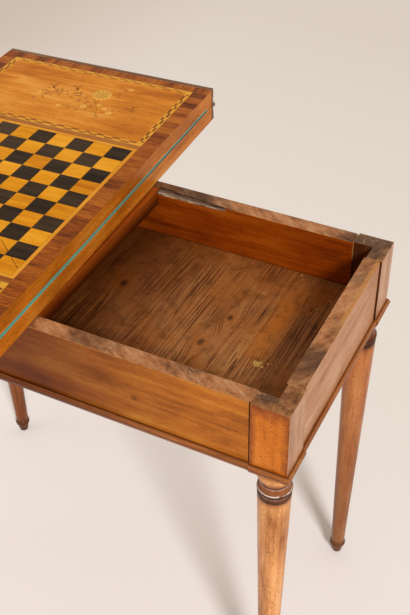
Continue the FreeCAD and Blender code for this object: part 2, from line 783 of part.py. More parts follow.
def make_pivot():
    """Flanged bolt, its screws, washer and nut. Returns what the ground board is cut with."""
    flange_top = f"{LEAF_FOOT} + flange_thickness"
    washer_top = f"({PIVOT_BOARD_FOOT} - washer_gap)"
    nut_top = f"({washer_top} - washer_thickness)"
    nut_foot = f"({nut_top} - nut_height)"
    length = (f"{nut_foot} - bolt_tail", flange_top)
    shank = upright_rod("bolt_shank", PIVOT_X, PIVOT_Y, length, "pivot_radius")
    flange = upright_rod("bolt_flange", PIVOT_X, PIVOT_Y, (LEAF_FOOT, flange_top), "flange_radius")
    bores = []
    leaf_tools = []
    screws = []
    for index, (x, y) in enumerate(flange_screw_places()):
        name = f"flange_screw_{index}"
        tip = f"{LEAF_FOOT} + flange_screw_length"
        hole = (f"{LEAF_FOOT} - overrun", f"{tip} + screw_fit")
        sink = (f"{LEAF_FOOT} - overrun", f"{LEAF_FOOT} + flange_screw_head_height + screw_fit")
        bores.append(upright_rod(name + "_bore", x, y, hole, "flange_screw_radius + screw_fit"))
        bores.append(upright_rod(name + "_sink", x, y, sink, "flange_screw_head_radius + screw_fit"))
        leaf_tools.append(upright_rod(name + "_leaf_bore", x, y, hole, "flange_screw_radius + screw_fit"))
        body = upright_rod(name + "_shank", x, y, (LEAF_FOOT, tip), "flange_screw_radius")
        crown = (LEAF_FOOT, f"{LEAF_FOOT} + flange_screw_head_height")
        head = upright_rod(name + "_head", x, y, crown, "flange_screw_head_radius")
        screws.append(joined(name, [body, head]))
    on_top("pivot_bolt", [cut("bolt_cut", joined("bolt_blank", [shank, flange]), bores)])
    on_top("pivot_flange_screws", screws)
    disc = upright_rod("washer_disc", PIVOT_X, PIVOT_Y, (nut_top, washer_top), "washer_radius")
    reach = (f"{nut_foot} - overrun", f"{washer_top} + overrun")
    eye = upright_rod("washer_eye", PIVOT_X, PIVOT_Y, reach, "pivot_radius + pivot_fit")
    on_top("pivot_washer", [cut("washer_cut", disc, [eye])])
    half = "nut_side / 2"
    block = slab(
        "nut_block",
        (f"{PIVOT_X} - {half}", f"{PIVOT_X} + {half}"),
        (f"{PIVOT_Y} - {half}", f"{PIVOT_Y} + {half}"),
        (nut_foot, nut_top),
    )
    thread = upright_rod("nut_thread", PIVOT_X, PIVOT_Y, reach, "pivot_radius + pivot_fit")
    on_top("pivot_nut", [cut("nut_cut", block, [thread])])
    bed = (f"{LEAF_FOOT} - overrun", flange_top)
    leaf_tools.append(upright_rod("flange_bed", PIVOT_X, PIVOT_Y, bed, "flange_radius + flange_fit"))
    return leaf_tools


def make_squares(thick):
    """The draughts board: the square at the far end of the fold side is dark."""
    kinds = {"dark_squares": [], "light_squares": []}
    for column in range(SQUARES_PER_SIDE):
        for row in range(SQUARES_PER_SIDE):
            kind = "dark_squares" if (column + row) % 2 == 0 else "light_squares"
            right = f"(-leaf_width / 2 + {BOARD_HALF} - {column} * {SQUARE})"
            back = f"({BOARD_HALF} - {row} * {SQUARE})"
            x = (f"{right} - {SQUARE}", right)
            y = (f"{back} - {SQUARE}", back)
            kinds[kind].append(slab(f"square_{column}_{row}", x, y, thick))
    for label, squares in kinds.items():
        on_top(label, squares)


def make_marquetry():
    """Crossbands, panels with their borders, divider bands, stringing and squares, all flush."""
    thick = layer("upper", "leaf_thickness - veneer_thickness", "leaf_thickness")
    along = (f"-{BAND_END}", BAND_END)
    on_top("crossband_fold", [slab("crossband_fold_strip", (BAND_INNER, FOLD_EDGE), along, thick)])
    on_top("crossband_outer", [slab("crossband_outer_strip", (OUTER_EDGE, BAND_OUTER), along, thick)])
    field_x = (BAND_OUTER, BAND_INNER)
    panel_x = (f"{BAND_OUTER} + panel_border_width", f"{BAND_INNER} - panel_border_width")
    through = (f"{thick[0]} - overrun", f"{thick[1]} + overrun")
    for side in ("far", "near"):
        end = mirrored((BAND_END, GROUND_END), side)
        strip = slab(f"crossband_{side}_strip", (OUTER_EDGE, FOLD_EDGE), end, thick)
        on_top("crossband_" + side, [strip])
        band = mirrored((STRING_HALF, PANEL_START), side)
        on_top("divider_band_" + side, [slab(f"divider_{side}_strip", field_x, band, thick)])
        panel_end = f"{BAND_END} - panel_border_width"
        panel_y = mirrored((f"{PANEL_START} + panel_border_width", panel_end), side)
        on_top("panel_" + side, [slab(f"panel_{side}_sheet", panel_x, panel_y, thick)])
        rim = slab(f"panel_border_{side}_rim", field_x, mirrored((PANEL_START, BAND_END), side), thick)
        opening = slab(f"panel_border_{side}_opening", panel_x, panel_y, through)
        on_top("panel_border_" + side, [cut(f"panel_border_{side}_frame", rim, [opening])])
    rim = slab("stringing_rim", field_x, (f"-{STRING_HALF}", STRING_HALF), thick)
    board_x = (f"{BAND_OUTER} + string_width", f"{BAND_INNER} - string_width")
    opening = slab("stringing_opening", board_x, (f"-{BOARD_HALF}", BOARD_HALF), through)
    on_top("board_stringing", [cut("stringing_frame", rim, [opening])])
    make_squares(thick)


def make_leaves():
    """Both leaves, the pivot that carries them and the hinges between them."""
    pivot_tools = make_pivot()
    make_ground("lower", "leaf_thickness", pivot_tools)
    make_ground("upper", "leaf_thickness - veneer_thickness", [])
    for leaf in ("lower", "upper"):
        make_lippings(leaf)
        make_borders(leaf)
        make_baize(leaf)
        make_hinge_plates(leaf)
    make_hinge_pins()
    make_marquetry()


def check_document():
    """Stop if any object failed or any sub-part is not a valid shape."""
    for piece in doc.Objects:
        if "Invalid" in piece.State or "Error" in piece.State:
            raise RuntimeError(f"{piece.Label} failed: {piece.State}")
    for piece in nodes:
        if piece.Shape.isNull() or not piece.Shape.isValid() or not piece.Shape.Solids:
            raise RuntimeError(f"{piece.Label} has no valid solid")


make_frame()
make_leaves()
doc.recompute()
check_document()
os.makedirs("parts", exist_ok=True)
for piece in nodes:
    piece.Shape.exportStep(f"parts/{piece.Label}.step")
print(len(nodes), "sub-parts written")
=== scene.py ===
"""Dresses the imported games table: polished woods, marquetry, baize, metal, floor, lamps and camera."""

import json
import logging
import math
from dataclasses import dataclass
from enum import Enum
from typing import Any, Optional, Sequence

import bpy
import numpy as np
from mathutils import Matrix, Vector


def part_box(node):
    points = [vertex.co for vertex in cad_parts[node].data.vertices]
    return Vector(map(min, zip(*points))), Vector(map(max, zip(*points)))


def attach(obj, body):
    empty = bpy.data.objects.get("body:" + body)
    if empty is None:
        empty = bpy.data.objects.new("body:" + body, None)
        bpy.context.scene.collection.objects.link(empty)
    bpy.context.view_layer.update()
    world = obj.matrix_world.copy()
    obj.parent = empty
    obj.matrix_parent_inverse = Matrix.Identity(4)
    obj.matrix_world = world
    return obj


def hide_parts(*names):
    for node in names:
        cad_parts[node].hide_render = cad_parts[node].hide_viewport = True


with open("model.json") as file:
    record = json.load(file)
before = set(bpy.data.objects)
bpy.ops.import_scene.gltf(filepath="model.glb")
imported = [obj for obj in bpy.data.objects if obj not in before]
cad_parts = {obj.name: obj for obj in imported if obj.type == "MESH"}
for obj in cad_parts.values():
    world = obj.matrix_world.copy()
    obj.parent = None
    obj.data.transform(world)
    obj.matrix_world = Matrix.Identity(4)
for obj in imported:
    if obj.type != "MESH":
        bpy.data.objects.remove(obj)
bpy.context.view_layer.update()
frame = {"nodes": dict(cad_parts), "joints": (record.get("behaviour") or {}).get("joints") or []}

LOG = logging.getLogger("games_table")
MM = 0.001
WHITE = "#ffffff"
BLACK = "#000000"
# A Mix node has its factor in socket 0. Numbers go in 2 and 3. Colours go in 6 and 7, and come from output 2.
NUMBERS = {"data_type": "FLOAT"}
COLOURS = {"out": 2, "data_type": "RGBA"}
Socket = bpy.types.NodeSocket
Tree = bpy.types.ShaderNodeTree
Pair = tuple[float, float]
Triple = tuple[float, float, float]
Shades = tuple[str, str, str]
Stops = tuple[tuple[float, str], ...]


def linear(colour: str) -> tuple[float, float, float, float]:
    """Turns an sRGB hex colour into linear RGBA, by the sRGB curve of a straight foot and a power.

    Args:
        colour: Colour as "#rrggbb".

    Returns:
        Linear red, green and blue, and a full alpha.
    """
    parts = [int(colour[start:start + 2], 16) / 255 for start in (1, 3, 5)]
    return (*[p / 12.92 if p <= 0.04045 else ((p + 0.055) / 1.055) ** 2.4 for p in parts], 1.0)


def metres(lengths: Sequence[float]) -> tuple[float, ...]:
    """Turns millimetres into metres."""
    return tuple(length * MM for length in lengths)


def add(tree: Tree, kind: str, inputs: Optional[dict[Any, Any]] = None, out: Any = 0,
        stops: Sequence[tuple[float, str]] = (), **settings: Any) -> Optional[Socket]:
    """Adds one shader node with its settings, ramp stops and links.

    Args:
        tree: Node tree of the material.
        kind: Node type without its "ShaderNode" start.
        inputs: Input name or number to a value, or to the socket that feeds it.
        out: Name or number of the output wanted.
        stops: Places and sRGB hex colours of a colour ramp, from low to high.
        settings: Properties of the node.

    Returns:
        The output socket, or None for a node without one.
    """
    node = tree.nodes.new("ShaderNode" + kind)
    for name, value in settings.items():
        setattr(node, name, value)
    if stops:
        ramp = node.color_ramp.elements
        ramp[0].position, ramp[0].color = stops[0][0], linear(stops[0][1])
        ramp[1].position, ramp[1].color = stops[-1][0], linear(stops[-1][1])
        for place, colour in stops[1:-1]:
            ramp.new(place).color = linear(colour)
    for key, value in (inputs or {}).items():
        if isinstance(value, Socket):
            tree.links.new(value, node.inputs[key])
        else:
            node.inputs[key].default_value = value
    return node.outputs[out] if node.outputs else None


def lay(tree: Tree, under: Any, value: Socket, marks: Pair, over: str, most: float = 1.0) -> Socket:
    """Lays a colour over another where a value passes from one mark to the next.

    Args:
        tree: Node tree of the material.
        under: Colour below, as a socket or linear RGBA.
        value: Value that decides.
        marks: Values where the upper colour starts and where it is full. The first may be the higher one.
        over: Upper colour, sRGB hex.
        most: Share of the upper colour where it is full.

    Returns:
        The mixed colour.
    """
    start, full = marks
    share = add(tree, "MapRange", {"Value": value, "From Min": start, "From Max": full, "To Max": most})
    return add(tree, "Mix", {0: share, 6: under, 7: linear(over)}, **COLOURS)


def patches(tree: Tree, place: Socket, size: float, marks: Pair, most: float = 1.0,
            detail: float = 2.0) -> Socket:
    """Mask of chance patches: a noise of their size, raised from 0 to most between two of its values.

    Args:
        tree: Node tree of the material.
        place: Coordinates.
        size: Size of the patches, in the unit of the coordinates.
        marks: Values of the noise where the mask starts and where it is full.
        most: Mask where it is full.
        detail: Number of finer noises on top.

    Returns:
        The mask.
    """
    noise = add(tree, "TexNoise", {"Vector": place, "Scale": 1 / size, "Detail": detail})
    start, full = marks
    return add(tree, "MapRange", {"Value": noise, "From Min": start, "From Max": full, "To Max": most})


def distance(tree: Tree, place: Socket, middle: Triple, sizes: Triple) -> Socket:
    """Distance from a middle, counted along each axis in that axis's size. An axis of size 0 doesn't count.

    Args:
        tree: Node tree of the material.
        place: Coordinates.
        middle: Place of the middle, in the unit of the coordinates.
        sizes: Lengths that count as 1 along x, y and z.

    Returns:
        The distance.
    """
    off = add(tree, "VectorMath", {0: place, 1: tuple(-value for value in middle)}, operation="ADD")
    per_unit = tuple(1 / size if size else 0.0 for size in sizes)
    off = add(tree, "VectorMath", {0: off, 1: per_unit}, operation="MULTIPLY")
    return add(tree, "VectorMath", {0: off}, out="Value", operation="LENGTH")


def empty_material(name: str) -> bpy.types.Material:
    """Makes a material whose node tree is empty.

    Args:
        name: Name of the material.

    Returns:
        The material.
    """
    material = bpy.data.materials.new(name)
    material.use_nodes = True
    material.node_tree.nodes.clear()
    return material


def surface(name: str, grids: np.ndarray) -> bpy.types.Object:
    """Makes one mesh of quads over grids of points.

    Face (i, j) joins the points (i, j), (i+1, j), (i+1, j+1) and (i, j+1).

    Args:
        name: Name of the piece.
        grids: Points in metres, as (grids, rows, columns, 3).

    Returns:
        The new object, smooth shaded, at the origin.
    """
    count, rows, columns = grids.shape[:3]
    index = np.arange(count * rows * columns).reshape(count, rows, columns)
    corners = [index[:, :-1, :-1], index[:, 1:, :-1], index[:, 1:, 1:], index[:, :-1, 1:]]
    faces = np.stack(corners, axis=-1).reshape(-1, 4)
    mesh = bpy.data.meshes.new(name)
    mesh.from_pydata(grids.reshape(-1, 3).tolist(), [], faces.tolist())
    mesh.polygons.foreach_set("use_smooth", np.ones(len(faces), dtype=bool))
    piece = bpy.data.objects.new(name, mesh)
    bpy.context.scene.collection.objects.link(piece)
    return piece


def thicken(piece: bpy.types.Object, name: str, thickness_mm: float, offset: float) -> None:
    """Gives a thin piece its thickness.

    Args:
        piece: The piece.
        name: Name of the modifier.
        thickness_mm: Thickness.
        offset: -1 to grow back from the surface, 0 to grow to both sides.
    """
    solid = piece.modifiers.new(name, "SOLIDIFY")
    solid.thickness = thickness_mm * MM
    solid.offset = offset


def waves(run: np.ndarray, rows: Sequence[Triple]) -> np.ndarray:
    """Sum of sines along a run, which makes an edge uneven.

    Args:
        run: Places along the edge, in mm.
        rows: Height in mm, length in mm per radian, and starting angle of each sine.

    Returns:
        The heights in mm.
    """
    return sum(height * np.sin(run / length + start) for height, length, start in rows)


class Grain(Enum):
    """Way the grain of a piece runs: along an axis of the frame, or of the turned top."""

    FRAME_X = "frame_x"
    FRAME_Y = "frame_y"
    FRAME_Z = "frame_z"
    TOP_X = "top_x"      # across the fold line
    TOP_Y = "top_y"      # along the fold line


@dataclass(frozen=True)
class FoldLine:
    """Hinge line of the two leaves, from which everything on the top is measured in millimetres."""

    origin: Pair
    turn: float

    @classmethod
    def of_record(cls) -> "FoldLine":
        """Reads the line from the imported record's leaf joint.

        Returns:
            The fold line.
        """
        joint = next(j for j in frame["joints"] if j["name"] == "leaf_fold")
        x, y = joint["pos_m"][:2]
        return cls((x / MM, y / MM), math.atan2(-joint["axis"][0], joint["axis"][1]))

    def place(self, points: np.ndarray) -> np.ndarray:
        """Carries points from the fold line to the frame: a turn about the vertical, then a shift.

        Args:
            points: Millimetres from the fold line, z from the floor, last axis x, y, z.

        Returns:
            The same points in metres in the frame.
        """
        cosine, sine = math.cos(self.turn), math.sin(self.turn)
        x = self.origin[0] + cosine * points[..., 0] - sine * points[..., 1]
        y = self.origin[1] + sine * points[..., 0] + cosine * points[..., 1]
        return np.stack([x, y, points[..., 2]], axis=-1) * MM


FOLD = FoldLine.of_record()


def coordinates(tree: Tree, grain: Grain) -> Socket:
    """Object coordinates in millimetres, turned so that X runs with the grain.

    On the top, they start from the fold line.

    Args:
        tree: Node tree of the material.
        grain: Way the grain runs.

    Returns:
        The vector socket.
    """
    quarter = math.pi / 2
    turns = {
        Grain.FRAME_X: (0.0, 0.0, 0.0),
        Grain.FRAME_Y: (0.0, 0.0, -quarter),
        Grain.FRAME_Z: (0.0, quarter, 0.0),
        Grain.TOP_X: (0.0, 0.0, -FOLD.turn),
        Grain.TOP_Y: (0.0, 0.0, -FOLD.turn - quarter),
    }
    turn = turns[grain]
    start = Vector((*FOLD.origin, 0.0)) if grain in (Grain.TOP_X, Grain.TOP_Y) else Vector()
    shift = -(Matrix.Rotation(turn[2], 3, "Z") @ start)
    place = add(tree, "TexCoord", out="Object")
    return add(tree, "Mapping", {
        "Vector": place, "Location": shift, "Rotation": turn, "Scale": (1 / MM,) * 3})


@dataclass(frozen=True)
class Wood:
    """A planed and polished wood: clouds, broad stripes and fine lines along the grain, and open pores."""

    name: str
    shades: Shades                     # dark line, body, light streak
    pore: str
    worn: str                          # colour of a rubbed arris
    stripe_mm: float = 24.0            # width of the broad stripes
    line_mm: float = 4.0               # width of the growth lines, about twice the real ones', to show
    stretch: float = 16.0              # length of the figure, in widths
    lines: float = 0.45                # share of the growth lines in the tone
    cloud: float = 0.35                # share of the clouds in the tone
    cloud_mm: float = 55.0
    cloud_stretch: float = 2.5         # length of a cloud, in widths
    spread: float = 0.2                # tone from the dark line to the body, so a high value is a quiet wood
    pores: float = 0.5
    pore_mm: Pair = (1.3, 9.0)         # width and length
    roughness: float = 0.42
    rough_change: Pair = (0.08, -0.06)      # of the roughness, on dark lines and on light streaks
    coat: float = 0.02
    coat_rough: float = 0.2
    gloss: float = 0.07                # specular level, low under a dry old polish
    relief_mm: float = 0.12
    arris_mm: float = 1.2              # rounding of the arrises
    wear: float = 0.6
    wear_mm: float = 30.0              # size of the worn patches
    grime_and_shade: float = 0.0                 # share of the dirt and painted shade in the creases
    crease_mm: float = 8.0
    # near-black brown: of the dirt and painted shade in the creases, and of knot hearts
    near_black: str = "#1f1008"

    def tone(self, tree: Tree, grain: Socket) -> Socket:
        """Tone of the figure: two noises drawn out along X, of stripe and of line width, under a cloud noise.

        Args:
            tree: Node tree of the material.
            grain: Millimetre coordinates with X along the grain.

        Returns:
            A value about 0.5, low on dark lines.
        """
        drawn = add(tree, "Mapping", {"Vector": grain, "Scale": (1 / self.stretch, 1.0, 1.0)})
        broad = add(tree, "TexNoise", {
            "Vector": drawn, "Scale": 1 / self.stripe_mm, "Detail": 2.0, "Distortion": 0.5})
        fine = add(tree, "TexNoise", {
            "Vector": drawn, "Scale": 1 / self.line_mm, "Detail": 4.0, "Roughness": 0.65})
        figure = add(tree, "Mix", {0: self.lines, 2: broad, 3: fine}, **NUMBERS)
        round_mm = add(tree, "Mapping", {"Vector": grain, "Scale": (1 / self.cloud_stretch, 1.0, 1.0)})
        cloud = add(tree, "TexNoise", {
            "Vector": round_mm, "Scale": 1 / self.cloud_mm, "Detail": 4.0, "Roughness": 0.6})
        return add(tree, "Mix", {0: self.cloud, 2: figure, 3: cloud}, **NUMBERS)

    def pits(self, tree: Tree, grain: Socket) -> Socket:
        """Mask of the pores: short dashes along X where a noise of the pores' width and length is high.

        Args:
            tree: Node tree of the material.
            grain: Millimetre coordinates with X along the grain.

        Returns:
            The mask.
        """
        width, length = self.pore_mm
        drawn = add(tree, "Mapping", {"Vector": grain, "Scale": (1 / length, 1 / width, 1 / width)})
        return patches(tree, drawn, 1.0, (0.6, 0.74), self.pores, detail=1.0)

    def ramp(self, tree: Tree, tone: Socket, shades: Shades) -> Socket:
        """Colours a tone from the dark line through the body to the light streak.

        Args:
            tree: Node tree of the material.
            tone: Tone of the figure.
            shades: Colours of dark line, body and light streak.

        Returns:
            The colour.
        """
        places = (0.5 - self.spread, 0.5, 0.5 + self.spread)
        return add(tree, "ValToRGB", {0: tone}, stops=tuple(zip(places, shades)))

    def colour(self, tree: Tree, grain: Socket, tone: Socket) -> Socket:
        """Colour of the sound surface before pores and wear."""
        return self.ramp(tree, tone, self.shades)

    def rub(self, tree: Tree, colour: Socket, soft: Socket) -> Socket:
        """Rubs the arrises, and darkens the creases with dirt and painted shade.

        An arris is where the rounded normal leaves the true one, and it is worn in patches. A crease is where
        little of the room within crease_mm is open, found by ambient occlusion.

        Args:
            tree: Node tree of the material.
            colour: Colour of the sound surface.
            soft: Normal rounded over the arrises.

        Returns:
            The colour with wear, and with dirt and painted shade in the creases.
        """
        place = add(tree, "TexCoord", out="Object")
        if self.wear:
            true = add(tree, "NewGeometry", out="Normal")
            bend = add(tree, "VectorMath", {0: soft, 1: true}, out="Value", operation="DOT_PRODUCT")
            edge = add(tree, "MapRange", {
                "Value": bend, "From Min": 0.985, "From Max": 0.8, "To Max": self.wear})
            patchy = patches(tree, place, self.wear_mm * MM, (0.4, 0.6), detail=4.0)
            edge = add(tree, "Math", {0: edge, 1: patchy}, operation="MULTIPLY")
            colour = add(tree, "Mix", {0: edge, 6: colour, 7: linear(self.worn)}, **COLOURS)
        if self.grime_and_shade:
            # painted shade with the dirt: darker where little of the room around is open
            room = add(tree, "AmbientOcclusion", {"Distance": self.crease_mm * MM}, out="AO", samples=6)
            colour = lay(tree, colour, room, (0.7, 0.25), self.near_black, self.grime_and_shade)
        return colour

    def material(self, grain: Grain) -> bpy.types.Material:
        """Builds the material for one way of the grain, or finds it if it is there.

        Args:
            grain: Way the grain runs.

        Returns:
            The material, named for the wood and the grain.
        """
        name = f"{self.name}_{grain.value}"
        if name in bpy.data.materials:
            return bpy.data.materials[name]
        material = empty_material(name)
        tree = material.node_tree
        along = coordinates(tree, grain)
        tone = self.tone(tree, along)
        pits = self.pits(tree, along)
        colour = self.colour(tree, along, tone)
        colour = add(tree, "Mix", {0: pits, 6: colour, 7: linear(self.pore)}, **COLOURS)
        soft = add(tree, "Bevel", {"Radius": self.arris_mm * MM}, samples=6)
        colour = self.rub(tree, colour, soft)
        dark_rough, light_rough = (self.roughness + change for change in self.rough_change)
        rough = add(tree, "MapRange", {
            "Value": tone, "From Min": 0.3, "From Max": 0.7, "To Min": dark_rough, "To Max": light_rough})
        height = add(tree, "Math", {0: tone, 1: pits}, operation="SUBTRACT")
        bump = add(tree, "Bump", {
            "Strength": 0.5, "Distance": self.relief_mm * MM, "Height": height, "Normal": soft})
        shader = add(tree, "BsdfPrincipled", {
            "Base Color": colour, "Roughness": rough, "Normal": bump, "IOR": 1.5,
            "Specular IOR Level": self.gloss, "Coat Weight": self.coat, "Coat Roughness": self.coat_rough})
        add(tree, "OutputMaterial", {"Surface": shader})
        return material


@dataclass(frozen=True)
class StandWood(Wood):
    """Walnut of the stand: polished outside, stained red-brown inside, bare and scuffed on upper edges."""

    inside: Shades = ("#551b03", "#883804", "#a5510e")
    sheen_shades: Shades = ("#86522e", "#b6805a", "#caa07e")     # painted sheen on faces to the right, paler and pinker
    sheen_facing: Pair = (0.7, 0.95)         # share of a face's look to the right, where the painted sheen starts and is full
    upper: Shades = ("#4c2a18", "#a86e44", "#c89870")
    upper_places: Triple = (0.28, 0.48, 0.7)
    lean: float = 0.6                  # angle of the streaks on the upper edges
    streak_mm: Pair = (50.0, 11.0)     # length and width
    blotch_mm: float = 6.0
    scuff: str = "#d0b090"
    scratch_mm: Pair = (14.0, 2.2)     # length and width
    scratched_mm: float = 48.0         # size of the places with scratches
    gloom_mm: float = 64.0             # size of the darker places
    stain: str = "#3c2a20"
    stains: tuple[Triple, ...] = (     # dark places on the upper edges: x, y and size in mm
        (20, 184, 110), (352, 178, 46), (374, -88, 34), (345, -172, 16))
    rubbed: str = "#c0854c"            # line along the outer arris of the right rail
    rubbed_mm: Pair = (371.0, 375.0)   # x where that line starts and is full
    rubbed_ends_mm: tuple[Pair, Pair] = ((-50.0, 10.0), (145.0, 138.0))    # y where it starts and is full
    shade_left: str = "#978264"        # painted shade, darker and redder towards the left end, where the leaf overhangs
    left_shade_mm: Pair = (0.0, 270.0)      # x of the deepest painted shade and of none
    wall_mm: float = 600.0             # the rails stand over this level
    hollow_mm: Pair = (0.0, -50.0)     # place along a face's look, where the inside starts and is full
    rise: Pair = (0.6, 0.95)           # share of a face's look up, where the upper edge starts and is full
    edge_mm: Pair = (690.0, 700.0)     # levels where the upper edges start and are full
    band_mm: Pair = (0.0, 1.0)
    band: Stops = ()                   # shades by the height, between the two levels
    knot_mm: Triple = (165.0, -190.0, 641.8)
    knot_size_mm: Triple = (6.0, 20.0, 5.0)
    grime_and_shade: float = 0.85

    def colour(self, tree: Tree, grain: Socket, tone: Socket) -> Socket:
        """Picks the shades by the way a face looks: up, towards the middle of the stand, or out.

        Outer faces to the right get a painted sheen, and outer faces a painted shade towards the left end.

        Args:
            tree: Node tree of the material.
            grain: Millimetre coordinates with X along the grain.
            tone: Tone of the figure.

        Returns:
            The colour.
        """
        normal = add(tree, "TexCoord", out="Normal")
        place = add(tree, "TexCoord", out="Object")
        x, z = (add(tree, "SeparateXYZ", {0: place}, out=axis) for axis in "XZ")
        side, rise = (add(tree, "SeparateXYZ", {0: normal}, out=axis) for axis in "XZ")
        # painted shade: darker and redder towards the left end, where the leaf overhangs
        left_shade = lay(tree, linear(self.shade_left), x, metres(self.left_shade_mm), WHITE)
        # painted sheen on the walls' faces to the right
        side = add(tree, "MapRange", {"Value": side, "From Min": self.sheen_facing[0], "From Max": self.sheen_facing[1]})
        wall = add(tree, "Math", {0: z, 1: self.wall_mm * MM}, operation="GREATER_THAN")
        side = add(tree, "Math", {0: side, 1: wall}, operation="MULTIPLY")
        polished = self.outside(tree, tone, place)
        outer = add(tree, "Mix", {0: side, 6: polished, 7: self.ramp(tree, tone, self.sheen_shades)}, **COLOURS)
        outer = add(tree, "VectorMath", {0: outer, 1: left_shade}, operation="MULTIPLY")
        level = add(tree, "VectorMath", {0: normal, 1: (1.0, 1.0, 0.0)}, operation="MULTIPLY")
        out = add(tree, "VectorMath", {0: level, 1: place}, out="Value", operation="DOT_PRODUCT")
        start, full = metres(self.hollow_mm)
        inward = add(tree, "MapRange", {"Value": out, "From Min": start, "From Max": full})
        inward = add(tree, "Math", {0: inward, 1: wall}, operation="MULTIPLY")
        up = add(tree, "MapRange", {"Value": rise, "From Min": self.rise[0], "From Max": self.rise[1]})
        start, full = metres(self.edge_mm)
        high = add(tree, "MapRange", {"Value": z, "From Min": start, "From Max": full})
        up = add(tree, "Math", {0: up, 1: high}, operation="MULTIPLY")
        colour = add(tree, "Mix", {0: inward, 6: outer, 7: self.ramp(tree, tone, self.inside)}, **COLOURS)
        return add(tree, "Mix", {0: up, 6: colour, 7: self.bare(tree, grain)}, **COLOURS)

    def bare(self, tree: Tree, grain: Socket) -> Socket:
        """Colour of the upper edges: streaks aslant, blotches, dark places, pale scratches and a rubbed line.

        Args:
            tree: Node tree of the material.
            grain: Millimetre coordinates with X along the grain.

        Returns:
            The colour.
        """
        aslant = add(tree, "Mapping", {"Vector": grain, "Rotation": (0.0, 0.0, self.lean)})
        length, width = self.streak_mm
        streak = add(tree, "Mapping", {"Vector": aslant, "Scale": (1 / length, 1 / width, 1 / width)})
        streak = add(tree, "TexNoise", {"Vector": streak, "Scale": 1.0, "Detail": 4.0, "Roughness": 0.6})
        blotch = add(tree, "TexNoise", {
            "Vector": grain, "Scale": 1 / self.blotch_mm, "Detail": 6.0, "Roughness": 0.7})
        blotch = add(tree, "Mix", {0: 0.35, 2: streak, 3: blotch}, **NUMBERS)
        colour = add(tree, "ValToRGB", {0: blotch}, stops=tuple(zip(self.upper_places, self.upper)))
        length, width = self.scratch_mm
        fine = add(tree, "Mapping", {"Vector": aslant, "Scale": (1 / length, 1 / width, 1.0)})
        scratch = patches(tree, fine, 1.0, (0.54, 0.7), 0.75, detail=3.0)
        scratched = patches(tree, grain, self.scratched_mm, (0.55, 0.68))
        scratch = add(tree, "Math", {0: scratch, 1: scratched}, operation="MULTIPLY")
        gloom = add(tree, "TexNoise", {
            "Vector": grain, "Scale": 1 / self.gloom_mm, "Detail": 5.0, "Roughness": 0.6})
        gloom = add(tree, "MapRange", {
            "Value": gloom, "From Min": 0.46, "From Max": 0.62, "To Min": 1.05, "To Max": 0.55})
        colour = add(tree, "VectorMath", {0: colour, "Scale": gloom}, operation="SCALE")
        place = add(tree, "TexCoord", out="Object")
        for east, north, size in self.stains:
            far = distance(tree, place, metres((east, north, 0.0)), metres((size, size, 0.0)))
            far = add(tree, "Math", {0: streak, 1: 1.2, 2: far}, operation="MULTIPLY_ADD")
            colour = lay(tree, colour, far, (1.65, 1.05), self.stain, 0.72)
        x, y = (add(tree, "SeparateXYZ", {0: place}, out=axis) for axis in "XY")
        start, full = metres(self.rubbed_mm)
        line = add(tree, "MapRange", {"Value": x, "From Min": start, "From Max": full, "To Max": 0.8})
        for end in self.rubbed_ends_mm:
            start, full = metres(end)
            within = add(tree, "MapRange", {"Value": y, "From Min": start, "From Max": full})
            line = add(tree, "Math", {0: line, 1: within}, operation="MULTIPLY")
        colour = add(tree, "Mix", {0: line, 6: colour, 7: linear(self.rubbed)}, **COLOURS)
        return add(tree, "Mix", {0: scratch, 6: colour, 7: linear(self.scuff)}, **COLOURS)

    def height(self, tree: Tree, place: Socket) -> Socket:
        """Height within the band, as a share from its lower to its upper level.

        Args:
            tree: Node tree of the material.
            place: Object coordinates.

        Returns:
            The share, from 0 to 1.
        """
        z = add(tree, "SeparateXYZ", {0: place}, out="Z")
        low, high = metres(self.band_mm)
        return add(tree, "MapRange", {"Value": z, "From Min": low, "From Max": high})

    def banded(self, tree: Tree, colour: Socket, place: Socket) -> Socket:
        """Shades a colour by the height.

        Args:
            tree: Node tree of the material.
            colour: Colour of the plain wood.
            place: Object coordinates.

        Returns:
            The shaded colour, or the same one where no band is given.
        """
        if not self.band:
            return colour
        shade = add(tree, "ValToRGB", {0: self.height(tree, place)}, stops=self.band)
        return add(tree, "VectorMath", {0: colour, 1: shade}, operation="MULTIPLY")

    def outside(self, tree: Tree, tone: Socket, place: Socket) -> Socket:
        """Colour of the polished outer faces, with one small knot.

        Args:
            tree: Node tree of the material.
            tone: Tone of the figure.
            place: Object coordinates.

        Returns:
            The colour.
        """
        colour = self.ramp(tree, tone, self.shades)
        far = distance(tree, place, metres(self.knot_mm), metres(self.knot_size_mm))
        colour = lay(tree, colour, far, (1.2, 0.3), self.pore, 0.65)
        return self.banded(tree, colour, place)


